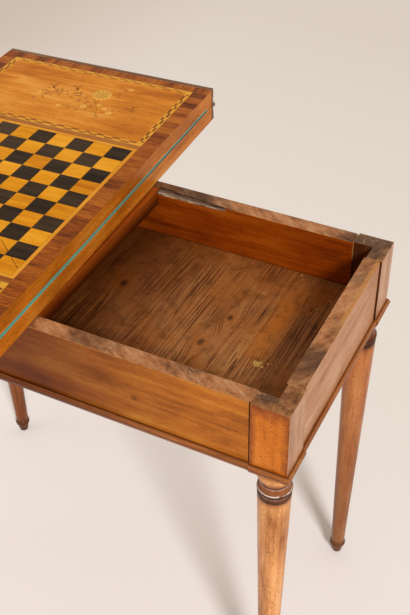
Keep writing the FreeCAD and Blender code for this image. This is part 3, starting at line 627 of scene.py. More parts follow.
@dataclass(frozen=True)
class TornWood(Wood):
    """Walnut torn along its fibres: pale at the ragged rim, grey-brown on the slope, dark at the back."""

    level_mm: Pair = (698.6, 706.0)
    heights: tuple[str, ...] = ("#dcc8ac", "#a48d76", "#7e6856", "#6a5242", "#3a281c")
    places: tuple[float, ...] = (0.08, 0.2, 0.45, 0.7, 0.95)       # of those colours, between the two levels
    fibre_mm: Pair = (24.0, 1.2)       # length and width
    ragged_mm: float = 9.0             # how far up and down the fibres carry a colour, in all

    def colour(self, tree: Tree, grain: Socket, tone: Socket) -> Socket:
        """Colours by the height, which drawn-out fibre noise makes ragged.

        Args:
            tree: Node tree of the material.
            grain: Millimetre coordinates with X along the grain.
            tone: Tone of the figure; not used.

        Returns:
            The colour.
        """
        length, width = self.fibre_mm
        drawn = add(tree, "Mapping", {"Vector": grain, "Scale": (1 / length, 1 / width, 1 / width)})
        fibre = add(tree, "TexNoise", {"Vector": drawn, "Scale": 1.0, "Detail": 3.0})
        z = add(tree, "SeparateXYZ", {0: grain}, out="Z")
        ragged = add(tree, "Math", {0: fibre, 1: self.ragged_mm, 2: -self.ragged_mm / 2},
                     operation="MULTIPLY_ADD")
        height = add(tree, "Math", {0: z, 1: ragged}, operation="ADD")
        low, high = self.level_mm
        share = add(tree, "MapRange", {"Value": height, "From Min": low, "From Max": high})
        return add(tree, "ValToRGB", {0: share}, stops=tuple(zip(self.places, self.heights)))


@dataclass(frozen=True)
class LegWood(StandWood):
    """Walnut of a leg: orange post, paler turned leg below, dark lines of painted shade and painted glints
    round the collar, and a dark foot.
    """

    post: Shades = ("#a04e0a", "#c86e14", "#dc8a34")
    post_mm: Pair = (588.0, 592.0)     # levels where the post starts and is full
    rear: Shades = ("#6a3a18", "#b06a38", "#ca8c58")         # legs at the back, redder
    back_mm: Pair = (-50.0, 100.0)     # y where the back starts and is full
    collar: str = "#3a1a08"
    dim_mm: Pair = (500.0, 120.0)      # levels between which a leg at the back darkens
    foot_mm: Pair = (45.0, 30.0)       # levels between which every leg darkens
    middle_mm: Triple = (356.0, 166.0, 646.0)      # of a post
    rim: str = "#8a5a40"
    rim_mm: Pair = (22.0, 33.0)        # distance from the middle lines, where the rim starts and is full
    rim_up: float = 0.45               # the height from the middle counts by this share
    rim_up_mm: float = -0.5            # and with this added
    rim_cloud_mm: Pair = (14.0, 12.0)  # size and depth of the clouds that make the rim uneven
    speck_mm: float = 2.8
    inside: Shades = ("#2a1206", "#4e2610", "#6e3c1a")
    upper: Shades = ("#3a1f10", "#966036", "#c4925c")
    shade_left: str = "#ece0d4"
    band_mm: Pair = (520.0, 590.0)
    # Collar from below: leg, groove, ring, groove, dark neck, groove, cushion, crease under the moulding.
    # The grooves and the crease are darkened as painted shade.
    band: Stops = (
        (0.0, WHITE), (0.1, "#dccabe"), (0.17, "#3a261c"), (0.2, "#5e483c"), (0.26, "#8a6e5e"),
        (0.31, "#5a4438"), (0.335, "#2c1a12"), (0.38, "#9c8478"), (0.5, "#b09a8c"), (0.545, "#402a1e"),
        (0.6, "#bca08e"), (0.78, WHITE), (0.88, "#c8b0a0"), (0.955, "#4e3628"), (0.985, WHITE))
    # Pale colour of the painted glints on the rings' lips.
    lip: str = "#f4e8dc"
    glint_patch_mm: float = 16.0               # size of the patches that break up the painted glints along a lip
    # Painted highlights: how far the lips of the rings are drawn pale as glints, over the same height.
    glint_lines: Stops = (
        (0.0, BLACK), (0.235, BLACK), (0.26, "#d0d0d0"), (0.285, BLACK), (0.352, BLACK), (0.368, "#f0f0f0"),
        (0.386, BLACK), (0.495, BLACK), (0.515, "#a0a0a0"), (0.535, BLACK), (1.0, BLACK))

    def outside(self, tree: Tree, tone: Socket, place: Socket) -> Socket:
        """Changes the shades with the height, from the post through the banded collar to the dark foot.

        The legs at the back are redder, and darken towards the foot.

        Args:
            tree: Node tree of the material.
            tone: Tone of the figure.
            place: Object coordinates.

        Returns:
            The colour.
        """
        y, z = (add(tree, "SeparateXYZ", {0: place}, out=axis) for axis in "YZ")
        start, full = metres(self.back_mm)
        back = add(tree, "MapRange", {"Value": y, "From Min": start, "From Max": full})
        fore = self.ramp(tree, tone, self.shades)
        colour = add(tree, "Mix", {0: back, 6: fore, 7: self.ramp(tree, tone, self.rear)}, **COLOURS)
        start, full = metres(self.dim_mm)
        low = add(tree, "MapRange", {"Value": z, "From Min": start, "From Max": full, "To Max": 0.5})
        low = add(tree, "Math", {0: low, 1: back}, operation="MULTIPLY")
        start, full = metres(self.foot_mm)
        foot = add(tree, "MapRange", {"Value": z, "From Min": start, "From Max": full, "To Max": 0.8})
        dark = add(tree, "Math", {0: low, 1: foot}, operation="MAXIMUM")
        colour = add(tree, "Mix", {0: dark, 6: colour, 7: linear(self.collar)}, **COLOURS)
        colour = self.paint_glints(tree, self.banded(tree, colour, place), place, back)
        start, full = metres(self.post_mm)
        above = add(tree, "MapRange", {"Value": z, "From Min": start, "From Max": full})
        return add(tree, "Mix", {0: above, 6: colour, 7: self.upright(tree, tone, place)}, **COLOURS)

    def paint_glints(self, tree: Tree, colour: Socket, place: Socket, back: Socket) -> Socket:
        """Paints highlights on the lips of the front legs' rings: pale glint lines, broken up in patches.

        Args:
            tree: Node tree of the material.
            colour: Colour of the leg.
            place: Object coordinates.
            back: 1 at the back legs and 0 at the front ones.

        Returns:
            The colour.
        """
        # painted highlights: pale glint lines at the heights of the rings' lips
        worn = add(tree, "ValToRGB", {0: self.height(tree, place)}, stops=self.glint_lines)
        patch = patches(tree, place, self.glint_patch_mm * MM, (0.3, 0.52))
        worn = add(tree, "Math", {0: worn, 1: patch}, operation="MULTIPLY")
        front = add(tree, "Math", {0: 1.0, 1: back}, operation="SUBTRACT")
        worn = add(tree, "Math", {0: worn, 1: front}, operation="MULTIPLY")
        return add(tree, "Mix", {0: worn, 6: colour, 7: linear(self.lip)}, **COLOURS)

    def upright(self, tree: Tree, tone: Socket, place: Socket) -> Socket:
        """Colour of the square post: dark specks, and a dark rim along its arrises and under its top.

        On a face, the lesser of the two distances from the post's middle lines runs from 0 in the middle to
        half its width at the arris.

        Args:
            tree: Node tree of the material.
            tone: Tone of the figure.
            place: Object coordinates.

        Returns:
            The colour.
        """
        colour = self.ramp(tree, tone, self.post)
        off = add(tree, "VectorMath", {0: place}, operation="ABSOLUTE")
        off = add(tree, "VectorMath", {0: off, 1: metres(self.middle_mm)}, operation="SUBTRACT")
        off = add(tree, "VectorMath", {0: off}, operation="ABSOLUTE")
        x, y, z = (add(tree, "SeparateXYZ", {0: off}, out=axis) for axis in "XYZ")
        aside = add(tree, "Math", {0: x, 1: y}, operation="MINIMUM")
        far = add(tree, "Math", {0: z, 1: self.rim_up, 2: self.rim_up_mm * MM}, operation="MULTIPLY_ADD")
        far = add(tree, "Math", {0: aside, 1: far}, operation="MAXIMUM")
        size, depth = metres(self.rim_cloud_mm)
        cloud = add(tree, "TexNoise", {"Vector": place, "Scale": 1 / size, "Detail": 4.0, "Roughness": 0.6})
        far = add(tree, "Math", {0: cloud, 1: depth, 2: far}, operation="MULTIPLY_ADD")
        shade = lay(tree, linear(WHITE), far, metres(self.rim_mm), self.rim, 0.8)
        colour = add(tree, "VectorMath", {0: colour, 1: shade}, operation="MULTIPLY")
        speck = add(tree, "TexNoise", {"Vector": place, "Scale": 1 / (self.speck_mm * MM), "Detail": 2.0})
        return lay(tree, colour, speck, (0.64, 0.7), self.pore, 0.75)


@dataclass(frozen=True)
class BoardWood(Wood):
    """Walnut of the pivot board: rubbed orange at its upper arris, darker below as painted shade."""

    level_mm: Pair = (684.0, 705.0)
    darkest: float = 0.22              # share of the light that the foot of the board keeps

    def colour(self, tree: Tree, grain: Socket, tone: Socket) -> Socket:
        """Darkens the wood from the upper arris down, as painted shade.

        Args:
            tree: Node tree of the material.
            grain: Millimetre coordinates with X along the grain.
            tone: Tone of the figure.

        Returns:
            The colour.
        """
        colour = super().colour(tree, grain, tone)
        z = add(tree, "SeparateXYZ", {0: grain}, out="Z")
        low, high = self.level_mm
        shade = add(tree, "MapRange", {"Value": z, "From Min": low, "From Max": high, "To Min": self.darkest})
        return add(tree, "VectorMath", {0: colour, "Scale": shade}, operation="SCALE")


@dataclass(frozen=True)
class FloorPine(Wood):
    """Stained pine of the compartment floor: dark summer lines, knots, dust, wax, painted shade by the leaf
    and rails.
    """

    knots: tuple[Triple, ...] = (      # x, y and size in mm, as for the drips and the sapwood
        (186, -40, 8), (22, 28, 9), (201, 24, 7), (96, -105, 5), (300, 90, 4))
    drips: tuple[Triple, ...] = (
        (275, -46, 7.5), (284, -50, 3.4), (289, -41, 2.0), (294, -39, 1.4), (256, 160, 2.6), (-40, 56, 3.4),
        (318, 120, 2.2), (262, 150, 1.6), (306, 96, 1.8), (330, 60, 1.7), (222, 96, 1.6), (150, 70, 1.5))
    drip_mm: float = 4.0               # size of the noise that makes the drips ragged
    ring_mm: float = 6.4               # spacing of the summer lines on a flat-sawn board
    sway_mm: float = 30.0              # size of the noise that sways them
    sway_stretch: float = 22.0         # its length, in sizes
    sway_rings: float = 9.0            # how far it shifts them, in spacings
    deep_mm: float = 85.0              # size of the places where they are deep
    warm: str = "#a35e20"
    warm_mm: float = 70.0
    stain: str = "#4c2a10"
    stain_mm: float = 24.0
    dust: str = "#c08c50"
    dust_mm: float = 3.2
    wax: str = "#cda658"
    sap: str = "#b8691c"
    sapwood: Triple = (268, 42, 16)    # warm band in the right board
    shade_left: str = "#a28a70"        # painted shade under the leaf
    shade_left_mm: Pair = (0.0, -150.0)         # across the boards, from the deepest shade to none
    shade_back: str = "#e2d2ba"        # painted shade along the back rail
    shade_back_mm: Pair = (0.0, 150.0)
    shade_front: str = "#e6dccc"       # painted shade along the front rail
    shade_front_mm: Pair = (-60.0, -160.0)

    def aside(self, tree: Tree, grain: Socket, spot: Triple, long: float, wide: float) -> Socket:
        """Distance from a spot, in its own sizes along and across the boards.

        Args:
            tree: Node tree of the material.
            grain: Millimetre coordinates with X along the grain.
            spot: Place on the floor and size, in mm.
            long: Length that counts as 1, in sizes.
            wide: Width that counts as 1, in sizes.

        Returns:
            The distance.
        """
        x, y, size = spot
        return distance(tree, grain, (y, -x, 0.0), (long * size, wide * size, 0.0))

    def tone(self, tree: Tree, grain: Socket) -> Socket:
        """Draws the lines as in any wood, after the coordinates across the boards are drawn in to each knot.

        Over them lie the summer lines: a saw tooth across the boards, whose phase a drawn-out noise shifts,
        patchy in depth.

        Args:
            tree: Node tree of the material.
            grain: Millimetre coordinates with X along the grain.

        Returns:
            The tone, low on dark lines.
        """
        across = add(tree, "SeparateXYZ", {0: grain}, out="Y")
        drawn = grain
        for knot in self.knots:
            far = self.aside(tree, grain, knot, 6.0, 2.6)
            pull = add(tree, "MapRange", {"Value": far, "From Min": 1.4, "From Max": 0.0, "To Max": -0.8},
                       interpolation_type="SMOOTHSTEP")
            off = add(tree, "Math", {0: across, 1: knot[0]}, operation="ADD")
            shift = add(tree, "Math", {0: off, 1: pull}, operation="MULTIPLY")
            shift = add(tree, "CombineXYZ", {"Y": shift})
            drawn = add(tree, "VectorMath", {0: drawn, 1: shift}, operation="ADD")
        tone = super().tone(tree, drawn)
        long = add(tree, "Mapping", {"Vector": drawn, "Scale": (1 / self.sway_stretch, 1.0, 1.0)})
        sway = add(tree, "TexNoise", {"Vector": long, "Scale": 1 / self.sway_mm, "Detail": 3.0})
        across = add(tree, "SeparateXYZ", {0: drawn}, out="Y")
        phase = add(tree, "Math", {0: across, 1: 1 / self.ring_mm}, operation="MULTIPLY")
        phase = add(tree, "Math", {0: sway, 1: self.sway_rings, 2: phase}, operation="MULTIPLY_ADD")
        share = add(tree, "Math", {0: phase}, operation="FRACT")
        line = add(tree, "MapRange", {"Value": share, "From Min": 0.3, "From Max": 0.95, "To Max": 0.26})
        deep = add(tree, "TexNoise", {"Vector": grain, "Scale": 1 / self.deep_mm, "Detail": 2.0})
        deep = add(tree, "MapRange", {"Value": deep, "From Min": 0.36, "From Max": 0.6, "To Min": 0.15})
        line = add(tree, "Math", {0: line, 1: deep}, operation="MULTIPLY")
        tone = add(tree, "Math", {0: tone, 1: 0.82, 2: 0.13}, operation="MULTIPLY_ADD")
        return add(tree, "Math", {0: tone, 1: line}, operation="SUBTRACT")

    def colour(self, tree: Tree, grain: Socket, tone: Socket) -> Socket:
        """Warms and stains the boards in patches, darkens knots, strews dust and drips, paints shade by the
        leaf and rails.

        Args:
            tree: Node tree of the material.
            grain: Millimetre coordinates with X along the grain.
            tone: Tone of the figure.

        Returns:
            The colour.
        """
        colour = super().colour(tree, grain, tone)
        patch = add(tree, "TexNoise", {
            "Vector": grain, "Scale": 1 / self.warm_mm, "Detail": 5.0, "Roughness": 0.65})
        colour = lay(tree, colour, patch, (0.47, 0.72), self.warm, 0.7)
        colour = lay(tree, colour, self.aside(tree, grain, self.sapwood, 5.5, 1.3), (1.2, 0.2), self.sap, 0.7)
        blotch = add(tree, "TexNoise", {
            "Vector": grain, "Scale": 1 / self.stain_mm, "Detail": 5.0, "Roughness": 0.65})
        colour = lay(tree, colour, blotch, (0.5, 0.7), self.stain, 0.55)
        for knot in self.knots:
            colour = lay(tree, colour, self.aside(tree, grain, knot, 3.0, 1.7), (1.2, 0.4), self.warm, 0.45)
            colour = lay(tree, colour, self.aside(tree, grain, knot, 1.2, 0.8), (1.1, 0.3), self.near_black, 0.8)
        speck = add(tree, "TexNoise", {
            "Vector": grain, "Scale": 1 / self.dust_mm, "Detail": 2.0, "Roughness": 0.6})
        colour = lay(tree, colour, speck, (0.66, 0.74), self.dust, 0.55)
        colour = lay(tree, colour, speck, (0.36, 0.27), self.pore, 0.6)
        ragged = add(tree, "TexNoise", {"Vector": grain, "Scale": 1 / self.drip_mm, "Detail": 3.0})
        for drip in self.drips:
            far = self.aside(tree, grain, drip, 1.0, 1.0)
            far = add(tree, "Math", {0: ragged, 1: 1.6, 2: far}, operation="MULTIPLY_ADD")
            colour = lay(tree, colour, far, (1.7, 1.4), self.wax, 0.8)
        along, across = (add(tree, "SeparateXYZ", {0: grain}, out=axis) for axis in "XY")
        # painted shade under the leaf, along the back rail and along the front rail
        shades = (
            lay(tree, linear(self.shade_left), across, self.shade_left_mm, WHITE),
            lay(tree, linear(WHITE), along, self.shade_back_mm, self.shade_back),
            lay(tree, linear(WHITE), along, self.shade_front_mm, self.shade_front),
        )
        for shade in shades:
            colour = add(tree, "VectorMath", {0: colour, 1: shade}, operation="MULTIPLY")
        return colour


@dataclass(frozen=True)
class BandVeneer(Wood):
    """Crossbanding: short lengths of veneer, their grain across the band, each of its own tone."""

    length_mm: float = 19.0
    uneven_mm: Pair = (90.0, 30.0)     # size and depth of the noise that makes the lengths uneven
    chance: float = 0.07               # how far the lengths differ in tone

    def tone(self, tree: Tree, grain: Socket) -> Socket:
        """Shifts the tone by a chance value for each length, the whole number of lengths along the band.

        Args:
            tree: Node tree of the material.
            grain: Millimetre coordinates with X along the grain.

        Returns:
            The tone.
        """
        tone = super().tone(tree, grain)
        size, depth = self.uneven_mm
        run = add(tree, "SeparateXYZ", {0: grain}, out="Y")
        uneven = add(tree, "TexNoise", {"Vector": grain, "Scale": 1 / size, "Detail": 0.0})
        run = add(tree, "Math", {0: uneven, 1: depth, 2: run}, operation="MULTIPLY_ADD")
        share = add(tree, "Math", {0: run, 1: self.length_mm}, operation="DIVIDE")
        length = add(tree, "Math", {0: share}, operation="FLOOR")
        drawn = add(tree, "TexWhiteNoise", {"W": length}, noise_dimensions="1D")
        shift = add(tree, "MapRange", {"Value": drawn, "To Min": -self.chance, "To Max": self.chance})
        return add(tree, "Math", {0: tone, 1: shift}, operation="ADD")


@dataclass(frozen=True)
class SquareVeneer(Wood):
    """Squares of the board: each of its own tone, with a dark glue line round it, and one fine crack."""

    size_mm: float = 33.6
    corner_mm: Pair = (-32.0, -168.0)
    chance: float = 0.12               # how far the squares differ in tone
    glue: str = "#4a2a10"
    seam: Pair = (0.478, 0.5)          # way out from a square's middle, where the glue starts and is full
    crack: tuple[float, float, float, float] = (-90.0, -107.0, -34.0, -152.0)   # x, y and x, y of its ends
    crack_mm: Pair = (0.9, 0.3)        # half its width, where it starts and is full
    wander_mm: Pair = (14.0, 4.0)      # size and depth of the noise that lets it wander

    def cell(self, tree: Tree, grain: Socket) -> Socket:
        """Place on the board, counted in squares from its corner.

        Args:
            tree: Node tree of the material.
            grain: Millimetre coordinates with X along the grain.

        Returns:
            The place.
        """
        corner = (-self.corner_mm[0], -self.corner_mm[1], 0.0)
        off = add(tree, "Mapping", {"Vector": grain, "Location": corner})
        per_mm = 1 / self.size_mm
        return add(tree, "VectorMath", {0: off, 1: (per_mm, per_mm, 0.0)}, operation="MULTIPLY")

    def tone(self, tree: Tree, grain: Socket) -> Socket:
        """Shifts the tone by a chance value for each square.

        Args:
            tree: Node tree of the material.
            grain: Millimetre coordinates with X along the grain.

        Returns:
            The tone.
        """
        tone = super().tone(tree, grain)
        whole = add(tree, "VectorMath", {0: self.cell(tree, grain)}, operation="FLOOR")
        drawn = add(tree, "TexWhiteNoise", {"Vector": whole}, noise_dimensions="2D")
        shift = add(tree, "MapRange", {"Value": drawn, "To Min": -self.chance, "To Max": self.chance})
        return add(tree, "Math", {0: tone, 1: shift}, operation="ADD")

    def colour(self, tree: Tree, grain: Socket, tone: Socket) -> Socket:
        """Darkens a line under a millimetre wide at the sides of each square, and one along the crack.

        Args:
            tree: Node tree of the material.
            grain: Millimetre coordinates with X along the grain.
            tone: Tone of the figure.

        Returns:
            The colour.
        """
        colour = super().colour(tree, grain, tone)
        part = add(tree, "VectorMath", {0: self.cell(tree, grain)}, operation="FRACTION")
        part = add(tree, "VectorMath", {0: part, 1: (0.5, 0.5, 0.0)}, operation="SUBTRACT")
        part = add(tree, "VectorMath", {0: part}, operation="ABSOLUTE")
        side_x, side_y = (add(tree, "SeparateXYZ", {0: part}, out=axis) for axis in "XY")
        side = add(tree, "Math", {0: side_x, 1: side_y}, operation="MAXIMUM")
        start, full = self.seam
        line = add(tree, "MapRange", {"Value": side, "From Min": start, "From Max": full, "To Max": 0.6})
        line = add(tree, "Math", {0: line, 1: self.split(tree, grain)}, operation="MAXIMUM")
        return add(tree, "Mix", {0: line, 6: colour, 7: linear(self.glue)}, **COLOURS)

    def split(self, tree: Tree, grain: Socket) -> Socket:
        """Mask of the crack: a band along the line between its ends, which a noise lets wander.

        Args:
            tree: Node tree of the material.
            grain: Millimetre coordinates with X along the grain.

        Returns:
            The mask.
        """
        x0, y0, x1, y1 = self.crack
        length = math.hypot(x1 - x0, y1 - y0)
        along = ((x1 - x0) / length, (y1 - y0) / length, 0.0)
        size, depth = self.wander_mm
        wander = add(tree, "TexNoise", {"Vector": grain, "Scale": 1 / size, "Detail": 2.0}, out="Color")
        wander = add(tree, "VectorMath", {0: wander, "Scale": depth}, operation="SCALE")
        start = (-x0 - depth / 2, -y0 - depth / 2, 0.0)
        off = add(tree, "VectorMath", {0: grain, 1: start}, operation="ADD")
        off = add(tree, "VectorMath", {0: off, 1: wander}, operation="ADD")
        run = add(tree, "VectorMath", {0: off, 1: along}, out="Value", operation="DOT_PRODUCT")
        square = (-along[1], along[0], 0.0)
        aside = add(tree, "VectorMath", {0: off, 1: square}, out="Value", operation="DOT_PRODUCT")
        middle = add(tree, "Math", {0: run, 1: length / 2}, operation="SUBTRACT")
        middle = add(tree, "Math", {0: middle}, operation="ABSOLUTE")
        within = add(tree, "Math", {0: middle, 1: length / 2}, operation="LESS_THAN")
        aside = add(tree, "Math", {0: aside}, operation="ABSOLUTE")
        start, full = self.crack_mm
        split = add(tree, "MapRange", {"Value": aside, "From Min": start, "From Max": full, "To Max": 0.8})
        return add(tree, "Math", {0: split, 1: within}, operation="MULTIPLY")


@dataclass(frozen=True)
class BorderInlay(Wood):
    """Border of the panels: a pale line, then two rows of dark and pale dashes, set half a step apart."""

    fold_mm: float = -26.0
    outer_mm: float = -374.0
    ends_mm: Pair = (184.0, 374.0)
    width_mm: float = 11.0
    lanes_mm: Triple = (1.7, 5.4, 9.2)      # inner sides of the pale line, the first row and the second row
    step_mm: float = 25.0
    uneven_mm: Pair = (45.0, 26.0)     # size and depth of the noise that makes the steps uneven
    slant: float = 0.5                 # lean of the dashes' ends
    pale: str = "#dea034"
    dash: tuple[str, str] = ("#3a1f0c", "#7c3f18")      # by chance, at the fold and the outer edge
    dash_near: str = "#8a4626"         # towards the board
    dash_far: str = "#b0702a"          # towards the end
    dash_share: float = 0.75           # share of those two
    ground_share: float = 0.15         # share of the panel's wood that shows through

    def colour(self, tree: Tree, grain: Socket, tone: Socket) -> Socket:
        """Works out the lane, which is the distance in from the nearest side, and the run along that side.

        The lane says which row a point is in, and the run whether a dash or a gap is there.

        Args:
            tree: Node tree of the material.
            grain: Millimetre coordinates with X along the grain.
            tone: Tone of the figure.

        Returns:
            The colour.
        """
        ground = super().colour(tree, grain, tone)
        x, y = (add(tree, "SeparateXYZ", {0: grain}, out=axis) for axis in "XY")
        y = add(tree, "Math", {0: y}, operation="ABSOLUTE")
        sides = [
            add(tree, "Math", {0: self.fold_mm, 1: x}, operation="SUBTRACT"),
            add(tree, "Math", {0: x, 1: -self.outer_mm}, operation="ADD"),
            add(tree, "Math", {0: y, 1: self.ends_mm[0]}, operation="SUBTRACT"),
            add(tree, "Math", {0: self.ends_mm[1], 1: y}, operation="SUBTRACT"),
        ]
        in_x = add(tree, "Math", {0: sides[0], 1: sides[1]}, operation="MINIMUM")
        in_y = add(tree, "Math", {0: sides[2], 1: sides[3]}, operation="MINIMUM")
        lane = add(tree, "Math", {0: in_x, 1: in_y}, operation="MINIMUM")
        deep = add(tree, "Math", {0: in_x, 1: in_y}, operation="MAXIMUM")
        upright = add(tree, "Math", {0: in_x, 1: in_y}, operation="LESS_THAN")
        run = add(tree, "Mix", {0: upright, 2: x, 3: y}, **NUMBERS)
        size, depth = self.uneven_mm
        uneven = add(tree, "TexNoise", {"Vector": grain, "Scale": 1 / size, "Detail": 1.0})
        run = add(tree, "Math", {0: uneven, 1: depth, 2: run}, operation="MULTIPLY_ADD")
        run = add(tree, "Math", {0: lane, 1: self.slant, 2: run}, operation="MULTIPLY_ADD")
        share = add(tree, "Math", {0: run, 1: self.step_mm}, operation="DIVIDE")
        count = add(tree, "Math", {0: share}, operation="FLOOR")
        chance = add(tree, "TexWhiteNoise", {"W": count}, noise_dimensions="1D")
        first = add(tree, "Math", {0: share}, operation="FRACT")
        first = add(tree, "Math", {0: first, 1: 0.5}, operation="LESS_THAN")
        second = add(tree, "Math", {0: 1.0, 1: first}, operation="SUBTRACT")
        pale_line, first_row, second_row = self.lanes_mm
        row = add(tree, "Math", {0: lane, 1: first_row}, operation="GREATER_THAN")
        on = add(tree, "Mix", {0: row, 2: first, 3: second}, **NUMBERS)
        dark = add(tree, "Mix", {0: chance, 6: linear(self.dash[0]), 7: linear(self.dash[1])}, **COLOURS)
        for side, shade in ((sides[2], self.dash_near), (sides[3], self.dash_far)):
            over = add(tree, "Math", {0: side, 1: lane}, operation="SUBTRACT")
            here = add(tree, "Math", {0: over, 1: 0.01}, operation="LESS_THAN")
            here = add(tree, "Math", {0: here, 1: self.dash_share}, operation="MULTIPLY")
            dark = add(tree, "Mix", {0: here, 6: dark, 7: linear(shade)}, **COLOURS)
        rows = add(tree, "Mix", {0: on, 6: linear(self.pale), 7: dark}, **COLOURS)
        rows = add(tree, "Mix", {0: self.ground_share, 6: rows, 7: ground}, **COLOURS)
        outside = add(tree, "Math", {0: lane, 1: pale_line}, operation="LESS_THAN")
        inside = add(tree, "Math", {0: lane, 1: second_row}, operation="GREATER_THAN")
        corner = add(tree, "Math", {0: deep, 1: self.width_mm}, operation="LESS_THAN")
        plain = add(tree, "Math", {0: outside, 1: corner}, operation="MAXIMUM")
        colour = add(tree, "Mix", {0: plain, 6: rows, 7: linear(self.pale)}, **COLOURS)
        return add(tree, "Mix", {0: inside, 6: colour, 7: ground}, **COLOURS)


@dataclass(frozen=True)
class Baize:
    """Woollen baize: a fulled weave under a short nap, faded a little in broad patches."""

    name: str = "wool_baize"
    shades: Shades = ("#2a695a", "#44917f", "#62ab98")
    nap_mm: float = 1.3                # drawn coarser than the real 0.4 mm nap, to show
    relief_mm: float = 0.4
    fade_mm: float = 70.0
    fade: float = 0.16                 # share of the fading in the tone
    # near-black of the painted shadow of the gap on the lower turned edge
    near_black: str = "#17130f"
    edge_mm: Pair = (-4.0, 734.4)      # lower turned edge, where the painted shadow lies: from the fold line, and under this level
    shadow_gap_mm: Pair = (-60.0, 180.0)     # along the fold, where the painted shadow starts and is full

    def material(self) -> bpy.types.Material:
        """Mixes a fine nap noise with a faint broad fading noise, lifts the nap and paints shade on the lower
        edge.

        The lower turned edge is painted black towards the far end, as the shadow of the gap between the
        leaves, and not at the near one.

        Returns:
            The material.
        """
        material = empty_material(self.name)
        tree = material.node_tree
        place = coordinates(tree, Grain.TOP_Y)
        nap = add(tree, "TexNoise", {
            "Vector": place, "Scale": 1 / self.nap_mm, "Detail": 3.0, "Roughness": 0.7})
        fade = add(tree, "TexNoise", {"Vector": place, "Scale": 1 / self.fade_mm, "Detail": 3.0})
        tone = add(tree, "Mix", {0: self.fade, 2: nap, 3: fade}, **NUMBERS)
        colour = add(tree, "ValToRGB", {0: tone}, stops=tuple(zip((0.3, 0.5, 0.7), self.shades)))
        along, across, level = (add(tree, "SeparateXYZ", {0: place}, out=axis) for axis in "XYZ")
        # painted shadow of the gap: black on the lower turned edge, growing towards the far end
        start, full = self.shadow_gap_mm
        gap_shadow = add(tree, "MapRange", {"Value": along, "From Min": start, "From Max": full, "To Max": 0.95})
        edge = add(tree, "Math", {0: across, 1: -self.edge_mm[0]}, operation="LESS_THAN")
        under = add(tree, "Math", {0: level, 1: self.edge_mm[1]}, operation="LESS_THAN")
        gap_shadow = add(tree, "Math", {0: gap_shadow, 1: edge}, operation="MULTIPLY")
        gap_shadow = add(tree, "Math", {0: gap_shadow, 1: under}, operation="MULTIPLY")
        colour = add(tree, "Mix", {0: gap_shadow, 6: colour, 7: linear(self.near_black)}, **COLOURS)
        bump = add(tree, "Bump", {"Strength": 0.8, "Distance": self.relief_mm * MM, "Height": nap})
        shader = add(tree, "BsdfPrincipled", {
            "Base Color": colour, "Roughness": 0.95, "Normal": bump, "Sheen Weight": 0.35,
            "Sheen Roughness": 0.5, "Specular IOR Level": 0.15})
        add(tree, "OutputMaterial", {"Surface": shader})
        return material


@dataclass(frozen=True)
class OldMetal:
    """Filed metal, dulled by handling: a thin uneven tarnish, rougher where it is darker."""

    name: str
    bright: str
    tarnish: str
    roughness: float = 0.38
    tarnish_rough: float = 0.2         # roughness that the tarnish adds
    tarnish_mm: float = 6.0            # size of its clouds
    grit_mm: float = 1.2               # drawn coarser than real file marks, to show
    relief_mm: float = 0.1

    def material(self) -> bpy.types.Material:
        """Lays the tarnish by a cloud noise over the bright metal, or finds the material if it is there.

        Returns:
            The material.
        """
        if self.name in bpy.data.materials:
            return bpy.data.materials[self.name]
        material = empty_material(self.name)
        tree = material.node_tree
        place = add(tree, "TexCoord", out="Object")
        cloud = add(tree, "TexNoise", {
            "Vector": place, "Scale": 1 / (self.tarnish_mm * MM), "Detail": 4.0, "Roughness": 0.6})
        colour = add(tree, "ValToRGB", {0: cloud}, stops=((0.4, self.tarnish), (0.62, self.bright)))
        rough = add(tree, "MapRange", {
            "Value": cloud, "From Min": 0.35, "From Max": 0.65,
            "To Min": self.roughness + self.tarnish_rough, "To Max": self.roughness})
        grit = add(tree, "TexNoise", {"Vector": place, "Scale": 1 / (self.grit_mm * MM), "Detail": 2.0})
        bump = add(tree, "Bump", {"Strength": 0.3, "Distance": self.relief_mm * MM, "Height": grit})
        shader = add(tree, "BsdfPrincipled", {
            "Base Color": colour, "Roughness": rough, "Metallic": 1.0, "Normal": bump})
        add(tree, "OutputMaterial", {"Surface": shader})
        return material


# Old walnut under shellac: warm brown, soft clouds, dark pores, pale where rubbed, with dirt and painted
# shade in its creases, painted shade towards the left end and a painted sheen on faces to the right.
RAIL_SHADES = ("#733a0a", "#b0641a", "#d08a32")
RAIL_WALNUT = StandWood(
    "walnut_rail", RAIL_SHADES, "#4a2208", "#d08f4a", stripe_mm=20.0, cloud=0.5, spread=0.15, pores=0.45,
    pore_mm=(1.5, 7.0), lines=0.5, roughness=0.4, coat=0.1, gloss=0.08, arris_mm=1.8, wear=0.85)
# The same walnut where it is torn: dry fibres without polish.
TORN_WALNUT = TornWood(
    "torn_walnut", RAIL_SHADES, "#33231a", "#c9b296", roughness=0.75, coat=0.0, gloss=0.08, arris_mm=0.3,
    wear=0.0)
# Turned and sanded walnut, paler and shinier than the rails.
LEG_WALNUT = LegWood(
    "walnut_leg", ("#8e4c1a", "#dc9a5e", "#ecba88"), "#4e2408", "#dcae76", stripe_mm=14.0, cloud=0.45,
    spread=0.17, pores=0.8, pore_mm=(1.2, 4.0), roughness=0.34, coat=0.22, coat_rough=0.13, gloss=0.08)
# Scraped beads, shiny on their crowns, with painted shade in the groove between them, in the crease above and
# a
# little at the foot. From below: bead, groove, bead, crease.
MOULDING_BAND = (
    (0.0, "#8a6c58"), (0.1, WHITE), (0.4, WHITE), (0.5, "#6a4c3a"), (0.6, WHITE), (0.9, WHITE),
    (0.99, "#5a4030"))
